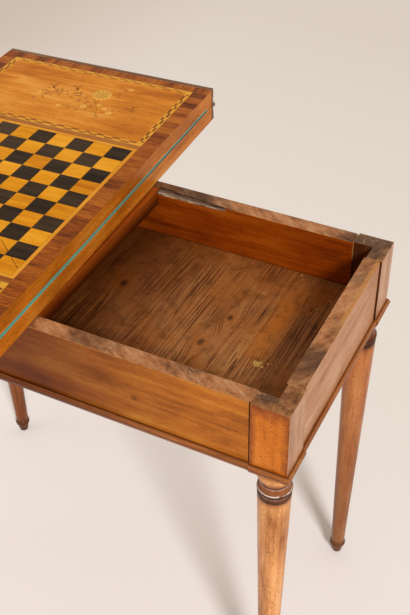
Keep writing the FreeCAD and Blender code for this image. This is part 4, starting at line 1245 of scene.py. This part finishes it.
# Its faces to the right carry a painted sheen, and it darkens towards the left end as painted shade.
MOULDING_WALNUT = StandWood(
    "walnut_moulding", ("#5e3210", "#985624", "#bc7e42"), "#3a1f0e", "#d09c62", stripe_mm=12.0, line_mm=2.5,
    roughness=0.34, coat=0.4, coat_rough=0.14, arris_mm=0.6, wear=0.7, grime_and_shade=0.5, sheen_facing=(0.3, 0.75),
    shade_left="#c0ae98", sheen_shades=("#94603e", "#d29e74", "#ecc4a2"), band_mm=(586.0, 600.0),
    band=MOULDING_BAND)
# Planed walnut that the leaf hides: dull, with its colours darkened as painted shade.
BOARD_WALNUT = BoardWood(
    "walnut_pivot_board", ("#5c2203", "#85390a", "#a65816"), "#3a1606", "#c07a34", roughness=0.45, grime_and_shade=0.6)
# Red-brown softwood strip under the floor, dull and rough.
BEARER_WOOD = Wood(
    "red_brown_wood", ("#4a2a18", "#75482b", "#96683f"), "#2e1a10", "#a67b52", roughness=0.65, coat=0.0)
# Pine stained brown long ago: close summer lines, dull polish, rubbed paler and dusty where things lay on it.
FLOOR_PINE = FloorPine(
    "stained_pine", ("#48260e", "#986038", "#c08c50"), "#23140a", "#8a6238", stripe_mm=26.0, line_mm=3.4,
    stretch=40.0, lines=0.75, cloud=0.4, spread=0.24, pores=0.25, roughness=0.5, coat=0.0, gloss=0.07,
    relief_mm=0.25, grime_and_shade=0.5)
# Edges of the leaves: orange-brown walnut, shiny from hands, with dark specks.
LEAF_WALNUT = Wood(
    "walnut_leaf", ("#8e4a0c", "#be6c18", "#d48c36"), "#5a2c0c", "#e0a458", stripe_mm=12.0, line_mm=2.6,
    stretch=22.0, cloud=0.6, spread=0.14, pores=0.9, pore_mm=(1.4, 6.0), roughness=0.4, coat=0.14, gloss=0.08,
    wear=0.8)
# Lippings at the leaves' ends: darker, greyer walnut.
LIPPING_WALNUT = Wood(
    "walnut_lipping", ("#4a3020", "#74523a", "#96714f"), "#33241a", "#a8845e", roughness=0.45)
# Sawn walnut veneers of the bands: dark, streaked across, with open pores.
CROSSBAND_WALNUT = BandVeneer(
    "walnut_crossband", ("#4c2006", "#984c12", "#bc7024"), "#3a1c0a", "#cf9650", stripe_mm=10.0, line_mm=2.2,
    stretch=14.0, lines=0.7, cloud=0.2, spread=0.15, chance=0.07, pores=0.8, roughness=0.4, wear=0.6)
DIVIDER_WALNUT = BandVeneer(
    "walnut_divider", ("#743f18", "#a05c22", "#ba7e3a"), "#4a2a14", "#b57a3e", length_mm=80.0, chance=0.06,
    line_mm=2.4, wear=0.0)
# Honey-coloured fruitwood of the panels, streaked across the top.
PANEL_SHADES = ("#aa5a0e", "#d58422", "#e8a648")
PANEL_FRUITWOOD = Wood(
    "fruitwood_panel", PANEL_SHADES, "#8a4c14", "#db9a44", stripe_mm=14.0, line_mm=3.0, stretch=13.0,
    cloud=0.5, spread=0.14, pores=0.5, roughness=0.4, wear=0.0)
BORDER_INLAY = BorderInlay(
    "boxwood_and_walnut_border", PANEL_SHADES, "#8a4c14", "#db9a44", pores=0.1, wear=0.0)
# Plain walnut round the baize.
INNER_BORDER = Wood(
    "walnut_inner_border", ("#7a4420", "#a9682f", "#c68a4a"), "#4a2712", "#d19b5c", stripe_mm=14.0)
# Boxwood: yellow, close and even, with hardly a pore.
BOXWOOD = Wood(
    "boxwood_stringing", ("#c57a16", "#de9324", "#ebab40"), "#a0600f", "#ebab40", line_mm=2.2, pores=0.15,
    wear=0.0)
# Squares of yellow satinwood and of wood stained black, under one dull polish.
LIGHT_SQUARE = SquareVeneer(
    "satinwood_square", ("#b8680c", "#e09414", "#f0ac30"), "#a85c0c", "#f0ab3c", stripe_mm=12.0, line_mm=2.4,
    pores=0.35, roughness=0.42, spread=0.2, chance=0.1, gloss=0.05, wear=0.0)
DARK_SQUARE = SquareVeneer(
    "ebonised_square", ("#1c120a", "#36281a", "#523e28"), "#120b07", "#3c2e23", stripe_mm=10.0, line_mm=2.4,
    pores=0.3, roughness=0.42, chance=0.08, glue="#120b07", gloss=0.05, wear=0.0)
# Knife-cut veneers of the sprays: pale petals, browner leaves and brown stems.
PETAL_BOXWOOD = Wood(
    "boxwood_petals", ("#dc983c", "#ecb04a", "#f4c062"), "#a5661a", "#ebbd6c", line_mm=1.6, stretch=5.0,
    wear=0.0)
LEAF_STAINED = Wood(
    "stained_sycamore_leaves", ("#9a5616", "#b87022", "#c88430"), "#8a5818", "#bd8a40", line_mm=1.6,
    stretch=5.0, wear=0.0)
STEM_WALNUT = Wood(
    "walnut_stems", ("#7a4010", "#9c5a20", "#b07030"), "#5c300c", "#a06a34", line_mm=1.6, stretch=5.0,
    wear=0.0)
# Forged iron of the nails and the pivot: dark grey, with little shine.
IRON = OldMetal("wrought_iron", "#6f6a64", "#2f2a27")
# Cast and filed brass of the hinges, gone pale and greyish.
BRASS = OldMetal("tarnished_brass", "#dcd6c8", "#a59c8a", roughness=0.4)


def dress(names: Sequence[str], material: bpy.types.Material) -> None:
    """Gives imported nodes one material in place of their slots' plain one.

    Args:
        names: Names of the nodes.
        material: Material that they get.
    """
    for name in names:
        mesh = frame["nodes"][name].data
        mesh.materials.clear()
        mesh.materials.append(material)
    LOG.info("dressed %s with %s", ", ".join(names), material.name)


@dataclass
class Stand:
    """Legs, rails, mouldings, compartment floor and pivot board, which stand still."""

    corners: tuple[str, ...] = ("front_right", "back_right", "back_left", "front_left")
    tear_mm: Triple = (8.2, 140.0, 7.0)         # start, length and depth of the missing splinter
    tear_run: tuple[float, ...] = (0.0, 0.14, 0.3, 0.52, 0.7, 0.85)
    tear_width_mm: tuple[float, ...] = (8.0, 7.55, 4.58, 3.5, 0.98, 0.0)
    tear_span: Pair = (0.003, 0.96)             # shares of the length where the torn face starts and ends
    clear_mm: float = 0.06                      # room between the torn face and the sides of the cut
    rim_mm: float = 0.7                         # middle height of the lower rim over the bottom of the cut
    rim_waves: tuple[Triple, ...] = ((0.45, 6.1, 0.0), (0.3, 2.3, 1.0))
    lifted_mm: float = 1.7                      # middle width of the strip of lifted fibres
    lifted_share: float = 0.14                  # what each mm of the cut's width adds to it
    lifted_waves: tuple[Triple, ...] = ((0.4, 4.3, 0.0), (0.25, 1.7, 0.0))
    taper: Pair = (0.98, 0.12)                  # share of the length where the strip ends, and of its taper
    fibre_mm: float = 0.3                       # thickness of the torn face

    def dress_walls(self) -> None:
        """Walnut on the legs and on the rails and mouldings, the grain along each."""
        dress([f"leg_{corner}" for corner in self.corners], LEG_WALNUT.material(Grain.FRAME_Z))
        dress([f"post_moulding_{corner}" for corner in self.corners], MOULDING_WALNUT.material(Grain.FRAME_X))
        for sides, grain in ((("front", "back"), Grain.FRAME_X), (("right", "left"), Grain.FRAME_Y)):
            dress([f"rail_{side}" for side in sides], RAIL_WALNUT.material(grain))
            dress([f"rail_moulding_{side}" for side in sides], MOULDING_WALNUT.material(grain))

    def dress_floor(self) -> None:
        """Stained pine floor on its bearers, iron nails, and the walnut pivot board."""
        dress(["floor_board_left", "floor_board_right"], FLOOR_PINE.material(Grain.FRAME_Y))
        dress(["floor_bearer_front", "floor_bearer_back"], BEARER_WOOD.material(Grain.FRAME_X))
        dress(["floor_nails"], IRON.material())
        dress(["pivot_board"], BOARD_WALNUT.material(Grain.FRAME_Y))

    def build_tear(self) -> None:
        """Lays the torn face into the back rail's missing splinter, a grid along the rail and up the slope.

        The slope rises from the inner face to the back of the cut with a power of the share, under ridges
        that are sums of sines along and across the fibres. Its rim wanders up and down along the rail. Past
        the cut, lifted fibres lie on the rail's top, on a strip that widens with the cut, made ragged by
        sines and tapered at its end.
        """
        low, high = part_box("rail_back")
        inner, top = low.y / MM, high.z / MM
        start, length, depth = self.tear_mm
        run = np.linspace(*self.tear_span, 170)[:, None]
        share = np.linspace(0.0, 1.0, 15)[None, :]
        width = np.interp(run, self.tear_run, self.tear_width_mm)
        x = start + length * run + 0.0 * share
        y = inner + self.clear_mm + share * np.clip(width - 2 * self.clear_mm, 0.05, None)
        rim = self.rim_mm + waves(x, self.rim_waves)
        ridge = 0.3 * np.sin(9.0 * share + x / 31.0) + 0.16 * np.sin(23.0 * share - x / 17.0)
        slope = rim * (1 - share) + (depth - 0.25) * share ** 0.75 + ridge * np.sin(np.pi * share)
        z = np.minimum(top - depth + slope, top - 0.1)
        lifted = self.lifted_mm + self.lifted_share * width + waves(x[:, :1], self.lifted_waves)
        lifted = lifted * np.clip((self.taper[0] - run) / self.taper[1], 0.0, 1.0)
        strip = np.linspace(0.0, 1.0, 4)[None, :]
        top_y = inner + width + lifted * strip
        top_z = top + 0.02 + 0.12 * (1 - strip) + 0.0 * width
        x = np.concatenate([x, x[:, :4]], axis=1)
        y = np.concatenate([y, top_y], axis=1)
        z = np.concatenate([z, top_z], axis=1)
        torn = surface("torn_edge", np.stack([x, y, z], axis=-1)[None] * MM)
        thicken(torn, "fibre_thickness", self.fibre_mm, -1.0)
        torn.data.materials.append(TORN_WALNUT.material(Grain.FRAME_X))
        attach(torn, "frame")
        LOG.info("tore %s", torn.name)

    def build(self) -> None:
        """Dresses the whole stand."""
        self.dress_walls()
        self.dress_floor()
        self.build_tear()


@dataclass
class Leaf:
    """One leaf of the top: ground board, lippings, inner border, baize and hinge plates."""

    name: str
    way: int                          # 1 if the leaf's wood is above its baize, -1 if it is below
    outer_mm: float = -373.9
    end_mm: float = 373.9
    edge_mm: float = -0.65            # middle of the cloth at the fold edge
    bend_mm: float = 0.9              # radius of the turn over the fold edge
    close_mm: Pair = (-12.0, -11.0)   # end of the wide rows, and start of the close ones near the fold
    cloth_mm: float = 1.0
    swell_mm: float = 0.3             # the nap stands up where the cloth turns over the edge
    swell_run_mm: float = 8.0         # over this width
    short_mm: float = 0.12            # the cut edge falls short by this, give or take its waves
    short_waves: tuple[Triple, ...] = ((0.08, 23.0, 0.0), (0.05, 7.3, 1.0))
    hem_mm: float = 0.25              # narrow outermost faces, so that the cut edge's shading stays on them

    def dress(self) -> None:
        """Walnut with its grain along the fold, dark lippings across it, and brass hinge plates."""
        dress([f"{self.name}_leaf_ground"], LEAF_WALNUT.material(Grain.TOP_Y))
        lippings = [f"{self.name}_lipping_far", f"{self.name}_lipping_near"]
        dress(lippings, LIPPING_WALNUT.material(Grain.TOP_X))
        dress([f"{self.name}_border_side"], INNER_BORDER.material(Grain.TOP_Y))
        dress([f"{self.name}_border_ends"], INNER_BORDER.material(Grain.TOP_X))
        dress([f"{self.name}_hinge_plates", f"{self.name}_hinge_screws"], BRASS.material())

    def build_baize(self, cloth: bpy.types.Material) -> None:
        """Lays the cloth, a profile carried along the fold.

        The profile is a line across the field, a quarter round over the fold edge and a short lip. The cloth
        swells by swell_mm before it turns, and the lip's cut edge falls short by a slow wave.

        Args:
            cloth: Material of the baize.
        """
        low, high = (corner.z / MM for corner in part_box(f"{self.name}_baize"))
        face = (low if self.way > 0 else high) + self.way * self.cloth_mm / 2
        lip = high - low - self.cloth_mm / 2
        inner_end = self.end_mm - self.hem_mm
        along = np.concatenate([[-self.end_mm], np.linspace(-inner_end, inner_end, 258), [self.end_mm]])
        bend, turn_x = self.bend_mm, self.edge_mm - self.bend_mm
        angle = np.linspace(0.0, math.pi / 2, 6)
        wide_rows = np.linspace(self.outer_mm + self.hem_mm, self.close_mm[0], 24)
        close_rows = np.linspace(self.close_mm[1], turn_x, 9)[:-1]
        field_x = np.concatenate([[self.outer_mm], wide_rows, close_rows])
        x = np.concatenate([field_x, turn_x + bend * np.sin(angle), np.full(5, self.edge_mm)])
        rise = np.linspace(0.0, 1.0, 6)[1:]
        short = self.short_mm + waves(along, self.short_waves)
        upright = bend + rise[:, None] * (lip - bend - short[None, :])
        swell = self.swell_mm * np.clip(1 + field_x / self.swell_run_mm, 0.0, 1.0)
        flat = np.concatenate([-swell, bend - bend * np.cos(angle)])
        flat[len(field_x):-1] -= self.swell_mm * np.cos(angle[:-1])
        z = np.concatenate([np.repeat(flat[:, None], len(along), axis=1), upright])
        points = np.stack([
            np.repeat(x[:, None], len(along), axis=1),
            np.repeat(along[None, :], len(x), axis=0),
            face + self.way * z], axis=-1)
        sheet = surface(f"{self.name}_baize_cloth", FOLD.place(points)[None])
        thicken(sheet, "cloth_thickness", self.cloth_mm, 0.0)
        sheet.data.materials.append(cloth)
        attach(sheet, f"{self.name}_leaf")
        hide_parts(f"{self.name}_baize")


@dataclass
class Marquetry:
    """Veneered outside of the upper leaf: board, bands, panels and the flower sprays let into the panels."""

    panel_mm: Pair = (-200.0, 279.0)  # middle of the far panel
    veneer_mm: float = 0.6
    petal_start: float = 0.3          # angle of a ring's first petal
    petal_power: float = 0.5          # powers of the half sine: a low one is blunt
    stem_power: float = 0.12
    leaf_power: float = 0.8
    stem_mm: float = 0.9              # width of a stem
    stem_leaves: int = 6              # leaves along a stem

    def dress(self) -> None:
        """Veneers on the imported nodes, each with its grain as laid."""
        dress(["crossband_fold", "crossband_outer"], CROSSBAND_WALNUT.material(Grain.TOP_X))
        dress(["crossband_far", "crossband_near"], CROSSBAND_WALNUT.material(Grain.TOP_Y))
        dress(["divider_band_far", "divider_band_near"], DIVIDER_WALNUT.material(Grain.TOP_X))
        dress(["panel_far", "panel_near"], PANEL_FRUITWOOD.material(Grain.TOP_X))
        dress(["panel_border_far", "panel_border_near"], BORDER_INLAY.material(Grain.TOP_X))
        dress(["board_stringing"], BOXWOOD.material(Grain.TOP_Y))
        dress(["light_squares"], LIGHT_SQUARE.material(Grain.TOP_X))
        dress(["dark_squares"], DARK_SQUARE.material(Grain.TOP_X))

    def blades(self, spots: np.ndarray) -> np.ndarray:
        """Lays leaf-shaped grids.

        Half the width follows a power of a half sine along the length, and the middle line bends aside with
        the square of the share.

        Args:
            spots: Rows of x, y, angle, length, width, bend and power, in mm and radians from a panel's
                middle.

        Returns:
            Grids of x and y, as (blades, 9, 5, 2).
        """
        x, y, angle, length, width, bend, power = (spots[:, k, None, None] for k in range(7))
        share = np.linspace(0.0, 1.0, 9)[None, :, None]
        across = np.linspace(-1.0, 1.0, 5)[None, None, :]
        half = width / 2 * np.sin(np.pi * np.clip(share, 0.004, 0.996)) ** power
        side = half * across + bend * share ** 2
        far = length * share + 0.0 * across
        blade_x = x + far * np.cos(angle) - side * np.sin(angle)
        blade_y = y + far * np.sin(angle) + side * np.cos(angle)
        return np.stack([blade_x, blade_y], axis=-1)

    def ring(self, x: float, y: float, count: int, inner: float, length: float, width: float) -> np.ndarray:
        """Petals at even angles round one middle.

        Args:
            x: Middle across the fold, in mm from the panel's middle.
            y: Middle along the fold.
            count: Number of petals.
            inner: Radius where they start.
            length: Length of a petal.
            width: Width of a petal.

        Returns:
            Rows for blades().
        """
        angle = np.arange(count) * 2 * np.pi / count + self.petal_start
        row = np.ones(count)
        columns = [x + inner * np.cos(angle), y + inner * np.sin(angle), angle, length * row, width * row,
                   0.0 * row, self.petal_power * row]
        return np.stack(columns, axis=-1)

    def flowers(self) -> dict[str, np.ndarray]:
        """Spots of a rosette, small blossoms, leaves and stems of one loose bunch.

        A flower is one or two rings of petals. Leaves stand along each stem, of chance place, size and lean.

        Returns:
            Rows for blades() by kind of wood.
        """
        chance = np.random.default_rng(11)
        petals = [self.ring(38, 27, 13, 5.5, 12.5, 6.6), self.ring(38, 27, 8, 1.0, 6.0, 3.6)]
        blossoms = ((28, -18, 5.5), (50, -4, 4.5), (77, -22, 5.5), (64, -12, 4.5), (-13, -30, 4.0),
                    (-66, -2, 4.0), (75, 62, 4.5))      # x, y and length of a petal
        petals += [self.ring(x, y, 5, 1.0, size, 0.8 * size) for x, y, size in blossoms]
        # Stems: x, y and x, y of the ends, and how far the stem bends aside.
        ends = np.array([
            (58, -30, 40, 10, 5), (58, -30, 2, 10, 9), (34, -6, -16, 34, 8), (58, -30, 108, 10, -9),
            (56, 32, 75, 62, -3), (-4, 12, -56, 24, 6), (2, 10, -66, -2, -7), (58, -30, -13, -30, -6),
            (58, -30, 64, -42, 2), (-30, 20, -64, -26, -5)], float)
        reach = ends[:, 2:4] - ends[:, :2]
        angle = np.arctan2(reach[:, 1], reach[:, 0])
        length = np.hypot(reach[:, 0], reach[:, 1])
        row = np.ones(len(ends))
        columns = [ends[:, 0], ends[:, 1], angle, length, self.stem_mm * row, ends[:, 4],
                   self.stem_power * row]
        stems = np.stack(columns, axis=-1)
        slim = np.array([
            (-5, 9, 0.1, 15, 3.0, 1.0, 0.8), (102, 12, 0.1, 13, 2.6, -1.0, 0.8),
            (64, 26, 1.2, 12, 2.0, 1.0, 0.8)])
        even = np.linspace(0.3, 0.98, self.stem_leaves)[:, None]
        share = np.clip(even + chance.uniform(-0.06, 0.06, (self.stem_leaves, len(ends))), 0.2, 1.0)
        side = np.where(np.arange(self.stem_leaves)[:, None] % 2, 1.0, -1.0) + 0.0 * share
        spot, aside = share * length, ends[:, 4] * share ** 2
        size = np.clip(length * 0.2, 5.0, 10.0) * chance.uniform(0.6, 1.25, share.shape)
        leaning = angle + side * chance.uniform(0.35, 1.2, share.shape)
        columns = [ends[:, 0] + spot * np.cos(angle) - aside * np.sin(angle),
                   ends[:, 1] + spot * np.sin(angle) + aside * np.cos(angle),
                   leaning, size, 0.44 * size, 0.25 * size * side, self.leaf_power + 0.0 * size]
        leaves = np.stack(columns, axis=-1).reshape(-1, 7)
        curls = np.array([(x, y, lean, 12.0, 3.4, 4.0 * turn, 0.7) for x, y in ((-56, 24), (-16, 34))
                          for lean, turn in ((0.5, 1), (1.3, -1), (2.2, 1), (-0.4, -1))])
        return {"petals": np.concatenate(petals), "leaves": np.concatenate([leaves, curls]),
                "stems": np.concatenate([stems, slim])}

    def build_sprays(self) -> None:
        """Lets a spray into each panel, the near one turned half round, as inlays flush with the veneer."""
        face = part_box("panel_far")[1].z / MM
        # Wood, height over the panel in mm so that crossing inlays don't fight, and slot.
        finishes = {"petals": (PETAL_BOXWOOD, 0.03, "boxwood"), "leaves": (LEAF_STAINED, 0.02, "fruitwood"),
                    "stems": (STEM_WALNUT, 0.01, "dark_walnut")}
        for kind, spots in self.flowers().items():
            finish, proud, slot = finishes[kind]
            flat = self.blades(spots)
            flat = np.concatenate([flat + self.panel_mm, -flat + np.array(self.panel_mm) * (1, -1)])
            level = np.full((*flat.shape[:-1], 1), face + proud)
            piece = surface(f"spray_{kind}", FOLD.place(np.concatenate([flat, level], axis=-1)))
            thicken(piece, "veneer_thickness", self.veneer_mm, -1.0)
            piece.data.materials.append(finish.material(Grain.TOP_X))
            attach(piece, "upper_leaf")
            LOG.info("inlaid %s, %d pieces", piece.name, len(flat))


class Lamp(Enum):
    """Kinds of lamp: a far one with even, soft-edged light, and a near broad one."""

    FAR = "SUN"
    NEAR = "AREA"


@dataclass
class Studio:
    """Pale floor, a soft key lamp from the front right, a weak fill from the left, and the camera."""

    eye_mm: Triple = (662.02, -944.24, 1548.02)
    yaw: float = 27.376
    pitch: float = 40.067
    roll: float = -1.254
    lens_mm: float = 57.547            # of a 36 mm frame 615 pixels high
    film_mm: float = 36.0
    sight_m: float = 100.0             # the camera sees this far
    floor_m: float = 12.0
    paper: Stops = ((0.0, "#f9f5f5"), (0.3, "#ede7e4"), (1.0, "#ded6d2"))       # painted falloff of the light, from the front to the back
    paper_m: Pair = (0.0, 2.4)         # y of the front and the back
    corner: str = "#cec3ba"            # painted shade: grey of the back left, where the light falls off
    corner_x_m: Pair = (-0.8, -1.8)    # where it starts and is full
    corner_y_m: Pair = (0.8, 1.8)
    aim_m: Triple = (0.0, 0.0, 0.5)    # the lamps face this place
    air: str = "#fff1df"               # light of the world
    air_strength: float = 0.5
    distance_paper: str = "#eee6df"    # what the eye and reflections see past the floor

    def build_floor(self) -> None:
        """A flat grid under the feet, in pale warm paper, greying to the back and back left as painted
        falloff of light.
        """
        line = np.linspace(-self.floor_m, self.floor_m, 9)
        x, y = np.meshgrid(line, line, indexing="ij")
        floor = surface("studio_floor", np.stack([x, y, np.zeros_like(x)], axis=-1)[None])
        material = empty_material("studio_paper")
        tree = material.node_tree
        place = add(tree, "TexCoord", out="Object")
        x, y = (add(tree, "SeparateXYZ", {0: place}, out=axis) for axis in "XY")
        # painted falloff of the light: the paper greys to the back, and more at the back left
        start, full = self.paper_m
        depth = add(tree, "MapRange", {"Value": y, "From Min": start, "From Max": full})
        colour = add(tree, "ValToRGB", {0: depth}, stops=self.paper)
        left, behind = (
            add(tree, "MapRange", {"Value": way, "From Min": start, "From Max": full},
                interpolation_type="SMOOTHSTEP")
            for way, (start, full) in ((x, self.corner_x_m), (y, self.corner_y_m)))
        corner = add(tree, "Math", {0: left, 1: behind}, operation="MULTIPLY")
        colour = add(tree, "Mix", {0: corner, 6: colour, 7: linear(self.corner)}, **COLOURS)
        shader = add(tree, "BsdfPrincipled", {
            "Base Color": colour, "Roughness": 0.8, "Specular IOR Level": 0.2})
        add(tree, "OutputMaterial", {"Surface": shader})
        floor.data.materials.append(material)
        LOG.info("laid the floor")

    def build_lamp(self, kind: Lamp, name: str, place: Triple, size: float, strength: float,
                   colour: str) -> None:
        """Hangs one lamp that faces the table.

        Args:
            kind: Far, even key or near, broad fill.
            name: Name of the lamp.
            place: Where it hangs, in metres.
            size: Angle across of a far lamp in radians, or side of a near one in metres.
            strength: Watts per square metre of a far lamp, or watts of a near one.
            colour: sRGB hex colour.
        """
        lamp = bpy.data.lights.new(name, kind.value)
        if kind is Lamp.FAR:
            lamp.angle = size
        else:
            lamp.size = size
        lamp.energy = strength
        lamp.color = linear(colour)[:3]
        holder = bpy.data.objects.new(name, lamp)
        bpy.context.scene.collection.objects.link(holder)
        aim = (Vector(self.aim_m) - Vector(place)).to_track_quat("-Z", "Y")
        holder.matrix_world = Matrix.Translation(place) @ aim.to_matrix().to_4x4()
        LOG.info("hung %s", name)

    def build_light(self) -> None:
        """Hangs the lamps and sets the even world, which the eye and reflections see as more paper."""
        self.build_lamp(Lamp.FAR, "key_lamp", (2.25, -2.33, 2.85), size=0.22, strength=2.45, colour="#fffefc")
        self.build_lamp(Lamp.NEAR, "fill_lamp", (-2.8, -1.2, 2.4), size=1.6, strength=8.0, colour=WHITE)
        world = bpy.data.worlds.new("studio_air")
        bpy.context.scene.world = world
        world.use_nodes = True
        tree = world.node_tree
        tree.nodes.clear()
        seen = add(tree, "LightPath", out="Is Camera Ray")
        for ray in ("Is Glossy Ray", "Is Transmission Ray"):
            seen = add(tree, "Math", {0: seen, 1: add(tree, "LightPath", out=ray)}, operation="MAXIMUM")
        air = add(tree, "Background", {"Color": linear(self.air), "Strength": self.air_strength})
        paper = add(tree, "Background", {"Color": linear(self.distance_paper), "Strength": 1.0})
        shader = add(tree, "MixShader", {0: seen, 1: air, 2: paper})
        add(tree, "OutputWorld", {"Surface": shader})

    def build_camera(self) -> None:
        """Sets the camera at the photo's angle: yaw about the vertical, pitch down, then a small roll."""
        yaw, pitch, roll = (math.radians(angle) for angle in (self.yaw, self.pitch, self.roll))
        level = math.cos(pitch)
        ahead = Vector((-math.sin(yaw) * level, math.cos(yaw) * level, -math.sin(pitch)))
        right = Vector((math.cos(yaw), math.sin(yaw), 0.0))
        up = right.cross(ahead)
        side = math.cos(roll) * right + math.sin(roll) * up
        head = math.cos(roll) * up - math.sin(roll) * right
        camera = bpy.data.cameras.new("camera")
        camera.lens = self.lens_mm
        camera.sensor_width = self.film_mm
        camera.clip_end = self.sight_m
        holder = bpy.data.objects.new("camera", camera)
        bpy.context.scene.collection.objects.link(holder)
        turn = Matrix((side, head, -ahead)).transposed().to_4x4()
        holder.matrix_world = Matrix.Translation(Vector(self.eye_mm) * MM) @ turn
        bpy.context.scene.camera = holder

    def build(self) -> None:
        """Builds the studio and sets the plain view."""
        self.build_floor()
        self.build_light()
        self.build_camera()
        bpy.context.scene.view_settings.view_transform = "Standard"


def main() -> None:
    """Builds and dresses the sub-assemblies in order."""
    logging.basicConfig(level=logging.INFO, format="%(name)s: %(message)s")
    Stand().build()
    cloth = Baize().material()
    for leaf in (Leaf("lower", way=-1), Leaf("upper", way=1)):
        leaf.dress()
        leaf.build_baize(cloth)
    dress(["hinge_pins"], BRASS.material())
    dress(["pivot_bolt", "pivot_flange_screws", "pivot_washer", "pivot_nut"], IRON.material())
    marquetry = Marquetry()
    marquetry.dress()
    marquetry.build_sprays()
    Studio().build()
    LOG.info("boxes written")


if __name__ == "__main__":
    main()
